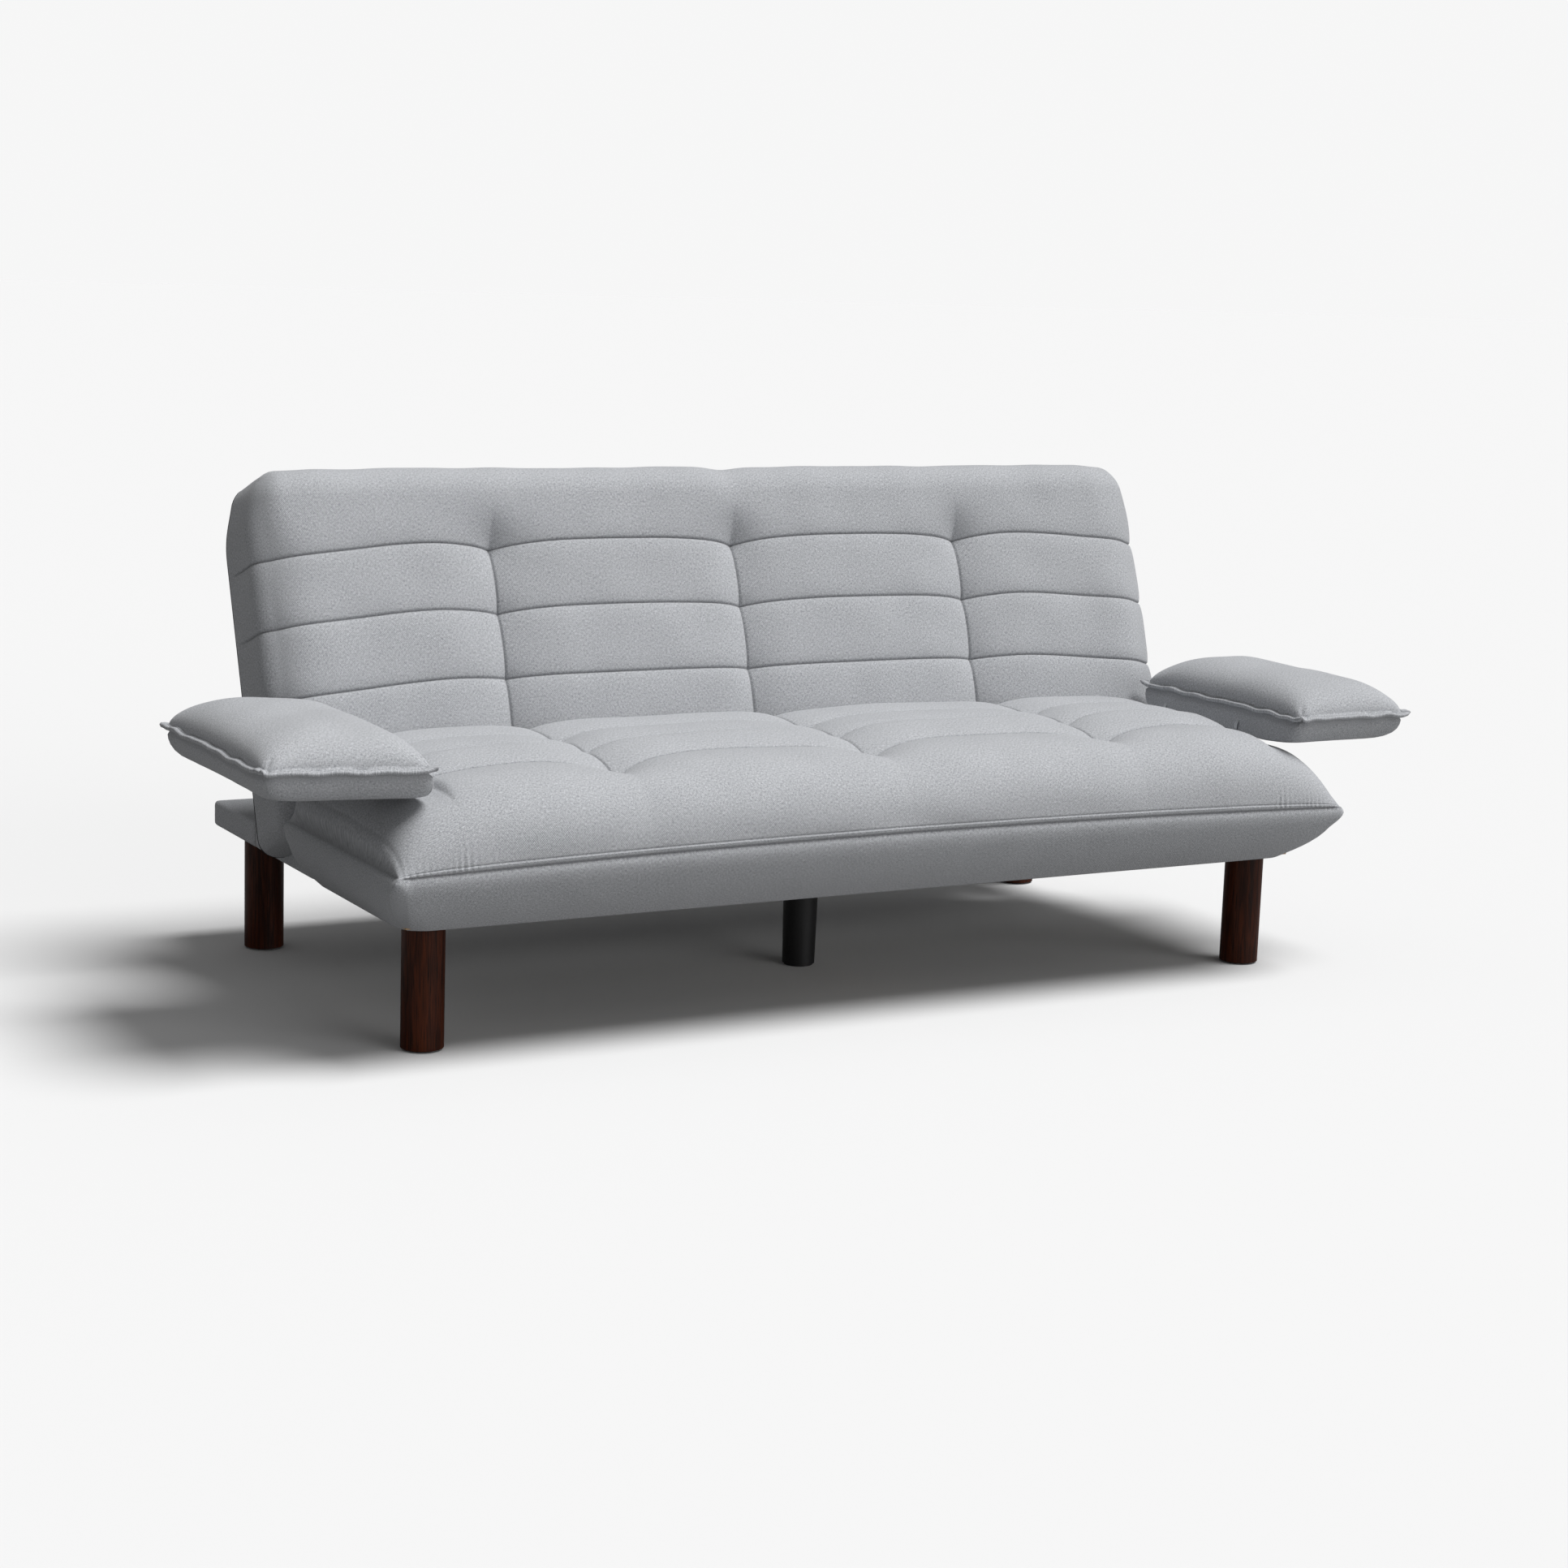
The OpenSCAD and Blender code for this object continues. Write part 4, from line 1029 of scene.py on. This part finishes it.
def stained_wood(name, dark, light):
    """Stained wood with its grain along Z: long streaks, fine pores and a thin clear coat."""
    wood = Finish(name)
    place = wood.in_place()
    bend = wood.noise(place, 6.0, 2.0)
    streak = wood.noise(wood.stretched(place, (34.0, 34.0, 1.6)), 1.0, 4.0)
    ring = ((streak * 9.0 + bend * 3.0) * 6.0).wave()
    pore = ((wood.noise(wood.stretched(place, (900.0, 900.0, 24.0)), 1.0, 2.0) - 0.54) * 9.0).clamped()
    tone = (0.42 + ring * 0.16 + (streak - 0.5) * 1.1 - pore * 0.45).clamped()
    return wood.surface(
        Base_Color=wood.mix(tone, dark, light),
        Roughness=0.42 + pore * 0.2,
        Coat_Weight=0.06,
        Coat_Roughness=0.22,
        Specular_IOR_Level=0.16,
        Normal=wood.bump(pore * -1.0, 0.0002, 0.5),
    )


finish_nodes(
    stained_wood("leg_stain", dark=(0.014, 0.0030, 0.0010, 1.0), light=(0.110, 0.022, 0.0045, 1.0)),
    "leg_front_left", "leg_front_right", "leg_rear_left", "leg_rear_right",
)


# --- Centre leg, glides and bumpers. The centre leg is a tapered black moulding with a fine spark
# texture. The glides and the bumpers are black rubber, duller, with a bloom of dust.
def moulded(name, dark, light, rough, grain):
    """Black moulding: a fine pitted grain and faint smudges in its gloss."""
    body = Finish(name)
    place = body.in_place()
    pits = body.noise(place, grain, 2.0)
    smudge = body.noise(place, 14.0, 3.0)
    return body.surface(
        Base_Color=body.mix(smudge, dark, light),
        Roughness=(smudge - 0.5) * 0.25 + rough,
        Normal=body.bump(pits, 0.0002, 0.35),
    )


MOULDING = ((0.006, 0.006, 0.0065, 1.0), (0.014, 0.014, 0.015, 1.0))
RUBBER = ((0.012, 0.012, 0.012, 1.0), (0.030, 0.030, 0.030, 1.0))
finish_nodes(moulded("leg_moulding", *MOULDING, rough=0.42, grain=1400.0), "leg_centre")
finish_nodes(moulded("black_rubber_pad", *RUBBER, rough=0.75, grain=900.0), "leg_glides", "rest_bumpers")


# --- Frame timber. Rails, blocks and slats are planed softwood, glued and screwed, and the panels
# and arm boards are plywood. Each is left bare, since cloth covers it.
def planed_timber(name, run, dark, light):
    """Bare timber: run scales the grain, and is small along the piece's length."""
    wood = Finish(name)
    place = wood.in_place()
    streak = wood.noise(wood.stretched(place, run), 1.0, 4.0)
    ring = ((streak * 11.0 + wood.noise(place, 3.0, 1.0) * 4.0) * 5.0).wave()
    fibre = wood.noise(wood.stretched(place, tuple(14.0 * share for share in run)), 1.0, 2.0)
    tone = (0.5 + ring * 0.22 + (fibre - 0.5) * 0.7).clamped()
    return wood.surface(
        Base_Color=wood.mix(tone, dark, light),
        Roughness=0.62 + fibre * 0.2,
        Normal=wood.bump(fibre, 0.0003, 0.4),
    )


PINE = ((0.36, 0.21, 0.095, 1.0), (0.66, 0.47, 0.27, 1.0))
GRAIN = 26.0
LONG = 1.3
finish_nodes(
    planed_timber("pine_lengthwise", (LONG, GRAIN, GRAIN), *PINE),
    "base_front_rail", "base_rear_rail", "seat_cross_rail", "deck_cross_rail", "deck_panel",
)
finish_nodes(
    planed_timber("pine_crosswise", (GRAIN, LONG, GRAIN), *PINE),
    "base_left_rail", "base_right_rail", "centre_beam", "seat_slats", "arm_board_left", "arm_board_right",
)
finish_nodes(planed_timber("pine_upright", (GRAIN, GRAIN, LONG), *PINE), "corner_blocks", "back_slats")


# --- Steelwork. The backrest frame and pawls are pressed steel, powder coated near black. The hinge
# plates, brackets, straps, pins, bolts and screws are zinc plated, clouded by it and faintly drawn.
def coated_steel(name):
    """Powder coat: near black with a fine orange-peel skin."""
    body = Finish(name)
    place = body.in_place()
    peel = body.noise(place, 700.0, 1.0)
    dust = body.noise(place, 9.0, 4.0)
    return body.surface(
        Base_Color=body.mix(dust, (0.020, 0.021, 0.023, 1.0), (0.050, 0.052, 0.056, 1.0)),
        Roughness=0.38 + dust * 0.2,
        Normal=body.bump(peel, 0.0002, 0.3),
    )


def zinc_plate(name):
    """Bright zinc: grey metal clouded by its plating, with fine drawn lines."""
    body = Finish(name)
    place = body.in_place()
    cloud = body.noise(place, 60.0, 4.0)
    drawn = body.noise(body.stretched(place, (90.0, 1600.0, 1600.0)), 1.0, 2.0)
    return body.surface(
        Base_Color=body.mix(cloud, (0.40, 0.41, 0.42, 1.0), (0.66, 0.67, 0.68, 1.0)),
        Metallic=1.0,
        Roughness=0.26 + cloud * 0.22,
        Normal=body.bump(drawn, 0.0001, 0.25),
    )


finish_nodes(
    coated_steel("coated_steel"),
    "back_top_rail", "back_bottom_rail", "back_left_stile", "back_right_stile", "pawl_left", "pawl_right",
)
slots = {part["node"]: part["material_slot"] for part in frame["record"]["subparts"]}
finish_nodes(zinc_plate("zinc_plate"), *[node for node, slot in slots.items() if slot == "zinc_steel"])
